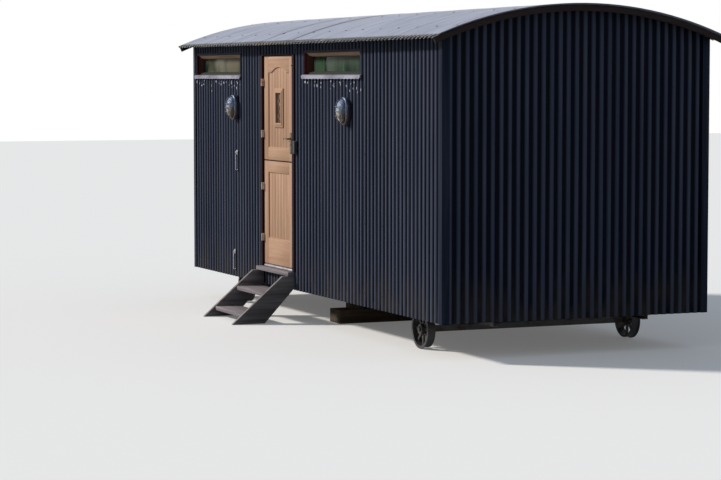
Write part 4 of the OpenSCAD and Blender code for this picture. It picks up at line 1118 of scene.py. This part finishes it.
for x in (lamp_near.x + half_w, lamp_far.x - half_w):
    outline = [(x + half_w * c, case_y, lamp_z + z + half_w * s)
               for z, first in ((run, 0), (-run, pi)) for c, s in arc(16, first, first + pi)]
    case = pushed(drawn("lamp_case", outline, True), (0, -flange, 0))
    stepped(case, case_y - flange, ((0.001, 0.001), (0.0012, 0.024), (0.0015, 0.006), (0.004, 0.003),
                                    (0.004, 0.0), (0.003, -0.003), (0.0025, -0.024), (0.001, -0.001)))
    cases.append(case)
    for side, up in ((1, 1), (1, -1), (-1, 1), (-1, -1)):
        mid_x, mid_z = x + side * lug_x, lamp_z + up * lug_z
        lug = [(mid_x + lug_r * c, case_y - 0.0455, mid_z + lug_r * s) for c, s in arc(16)[:-1]]
        cases.append(prism("lug", lug, (0, 0.004, 0), 0.001))
        cases.append(driven("lamp_screw", (mid_x, case_y - 0.046, mid_z), 0.005))
    for up in (-run, 0, run):
        guards.append(rod("hoop", [(x - hoop * c, wire_y - hoop_out * s, lamp_z + up)
                                   for c, s in arc(20, 0, pi)], wire))
    for side in (1, -1):
        guards.append(rod("side_bar", [(x + side * hoop, wire_y, lamp_z - run - 0.01),
                                       (x + side * hoop, wire_y, lamp_z + run + 0.01)], wire))
    quarter = arc(10, 0, pi / 2)
    bar = [(x, wire_y - hoop_out * s, lamp_z - run - hoop * c) for c, s in quarter]
    bar += [(x, wire_y - hoop_out * c, lamp_z + run + hoop * s) for c, s in quarter]
    guards.append(rod("middle_bar", bar, wire))
    ring = [(x + seat_r * c, wire_y + 0.003, lamp_z + (run if t <= 16 else -run) + seat_r * s)
            for t, (c, s) in enumerate(arc(32))]
    guards.append(rod("seat_ring", ring + [ring[0]], 0.0045))
    alone()
    bpy.ops.mesh.primitive_uv_sphere_add(segments=32, ring_count=60, radius=1, scale=(0.0672, 0.067, 0.1075),
                                         location=(x, case_y - 0.036, lamp_z))
    dome = named("dome")
    for vert in dome.data.vertices:
        ribs = 0.0012 * cos(2 * pi * (vert.co.z - lamp_z) / rib)
        vert.co.y = min(vert.co.y + (0 if vert.co.y > case_y - 0.04 else ribs), case_y - 0.013)
    domes.append(marked(dome, lambda co: (co.y - case_y + 0.103) / 0.067))
fitted(joined("lamp_cases", cases), cast, "hut", "lamp_metal", "lamps")
fitted(joined("wire_guards", guards), cast, "hut", "lamp_metal")
fitted(joined("ribbed_glasses", domes), ribbed, "hut", "lamp_glass", "lamp_glasses")

# Steps. Two notched softwood stringers stand against the wall and carry two treads between them and
# a wide board level with the floor. Screws go through from the sides, and rain has turned it grey.
aged = {"roughness": 0.75, "coarse": 0.9, "lift": 0.0009}
grey_board = timber("grey_boards", tone(160, 153, 158), tone(104, 98, 102), "X", **aged)
grey_side = timber("grey_stringers", tone(158, 152, 152), tone(98, 92, 94), "Y", **aged)
near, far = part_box("stringers")
board_near, board_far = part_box("top_board")
thick, rise, going, nosing, stringer_d = 0.038, 0.187, 0.216, 0.03, 0.210
reach, under, slope = far.y - near.y, far.z, rise / going
back_reach = reach - stringer_d / sin(atan(slope))
profile = ((reach, 0), (reach - under / slope, under), (0, under), (0, under - 0.12), (back_reach, 0))
stringers = [prism("stringer", [(x, far.y - d, z) for d, z in profile], (thick, 0, 0), 0.002)
             for x in (near.x, far.x - thick)]
fitted(joined("grey_stringers", stringers), grey_side, "hut", "step_timber", "stringers")
tread_near, tread_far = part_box("treads")
places = [(board_near.y - i * going, board_far.z - (i + 1) * rise) for i in (0, 1)]
treads = [plank("tread", (tread_near.x, back - going, top - thick), (tread_far.x, back + nosing, top), 0.004)
          for back, top in places]
fitted(joined("grey_treads", treads), grey_board, "hut", "step_timber", "treads")
fitted(plank("wide_top_board", board_near, board_far, 0.004), grey_board, "hut", "step_timber", "top_board")
fixings = [driven("tread_screw", (x, y, top - thick / 2), 0.006, side * pi / 2)
           for side, x in ((1, far.x), (-1, near.x)) for back, top in places
           for y in (back - going + 0.05, back - 0.02)]
fixings += [driven("board_screw", (x, y, board_far.z - 0.0005), 0.005, -pi / 2, 0)
            for x in (near.x + thick / 2, far.x - thick / 2) for y in (board_near.y + 0.014, board_far.y - 0.014)]
fitted(joined("step_screws", fixings), rusted, "hut", "step_timber")

# Stage. A plain pale floor and soft light from the front left, as in the photograph.
alone()
bpy.ops.mesh.primitive_plane_add(size=120, location=(0, 0, -0.002))
ground = bpy.context.object
ground.name = "studio_floor"
pale = finish("studio_floor", (0.93, 0.93, 0.93), 0.9, gloss=0.0)
ground.data.materials.append(pale)
floor_light = pale.node_tree.nodes.new("ShaderNodeBsdfDiffuse")
floor_light.inputs["Color"].default_value = (0.22, 0.22, 0.21, 1)
shader_of(pale).inputs["Emission Color"].default_value = (1, 1, 1, 1)
shader_of(pale).inputs["Emission Strength"].default_value = 0.13

world = bpy.data.worlds.new("studio")
bpy.context.scene.world = world
world.use_nodes = True
sky = world.node_tree.nodes["Background"]
white = world.node_tree.nodes.new("ShaderNodeBackground")
for light, colour, strength in ((sky, (0.72, 0.84, 1.0, 1), 0.27), (white, (1, 1, 1, 1), 1.0)):
    light.inputs["Color"].default_value = colour
    light.inputs["Strength"].default_value = strength


def seen_rays(owner):
    """One where the camera, a gloss or a clear piece looks, and nought where light only falls."""
    rays = owner.node_tree.nodes.new("ShaderNodeLightPath")
    shown = maths(owner, "ADD", rays.outputs["Is Camera Ray"], rays.outputs["Is Glossy Ray"])
    return maths(owner, "MINIMUM", maths(owner, "ADD", shown, rays.outputs["Is Transmission Ray"]), 1.0)


for owner, falls, shows, end in ((pale, floor_light, shader_of(pale), "Material Output"),
                                 (world, sky, white, "World Output")):
    choose = owner.node_tree.nodes.new("ShaderNodeMixShader")
    for socket, value in ((0, seen_rays(owner)), (1, falls.outputs[0]), (2, shows.outputs[0])):
        join_up(owner, value, choose.inputs[socket])
    join_up(owner, choose.outputs[0], owner.node_tree.nodes[end].inputs["Surface"])

bpy.ops.object.light_add(type="SUN", location=(-6, -9, 9))
sun = bpy.context.object
sun.name = "key_light"
sun.data.energy = 3.25
sun.data.angle = radians(6)
sun.data.color = (1.0, 0.95, 0.88)
sun.rotation_euler = Vector((0.50, 0.62, -0.46)).to_track_quat("-Z", "Y").to_euler()

bpy.ops.object.camera_add(location=(19.3385, -8.880, 2.2781),
                          rotation=(radians(85.88), radians(0.03), radians(66.927)))
camera = bpy.context.object
camera.name = "camera"
camera.data.sensor_width = 36
camera.data.lens = 112.69
camera.data.clip_end = 400
bpy.context.scene.camera = camera
bpy.context.scene.view_settings.view_transform = "Standard"
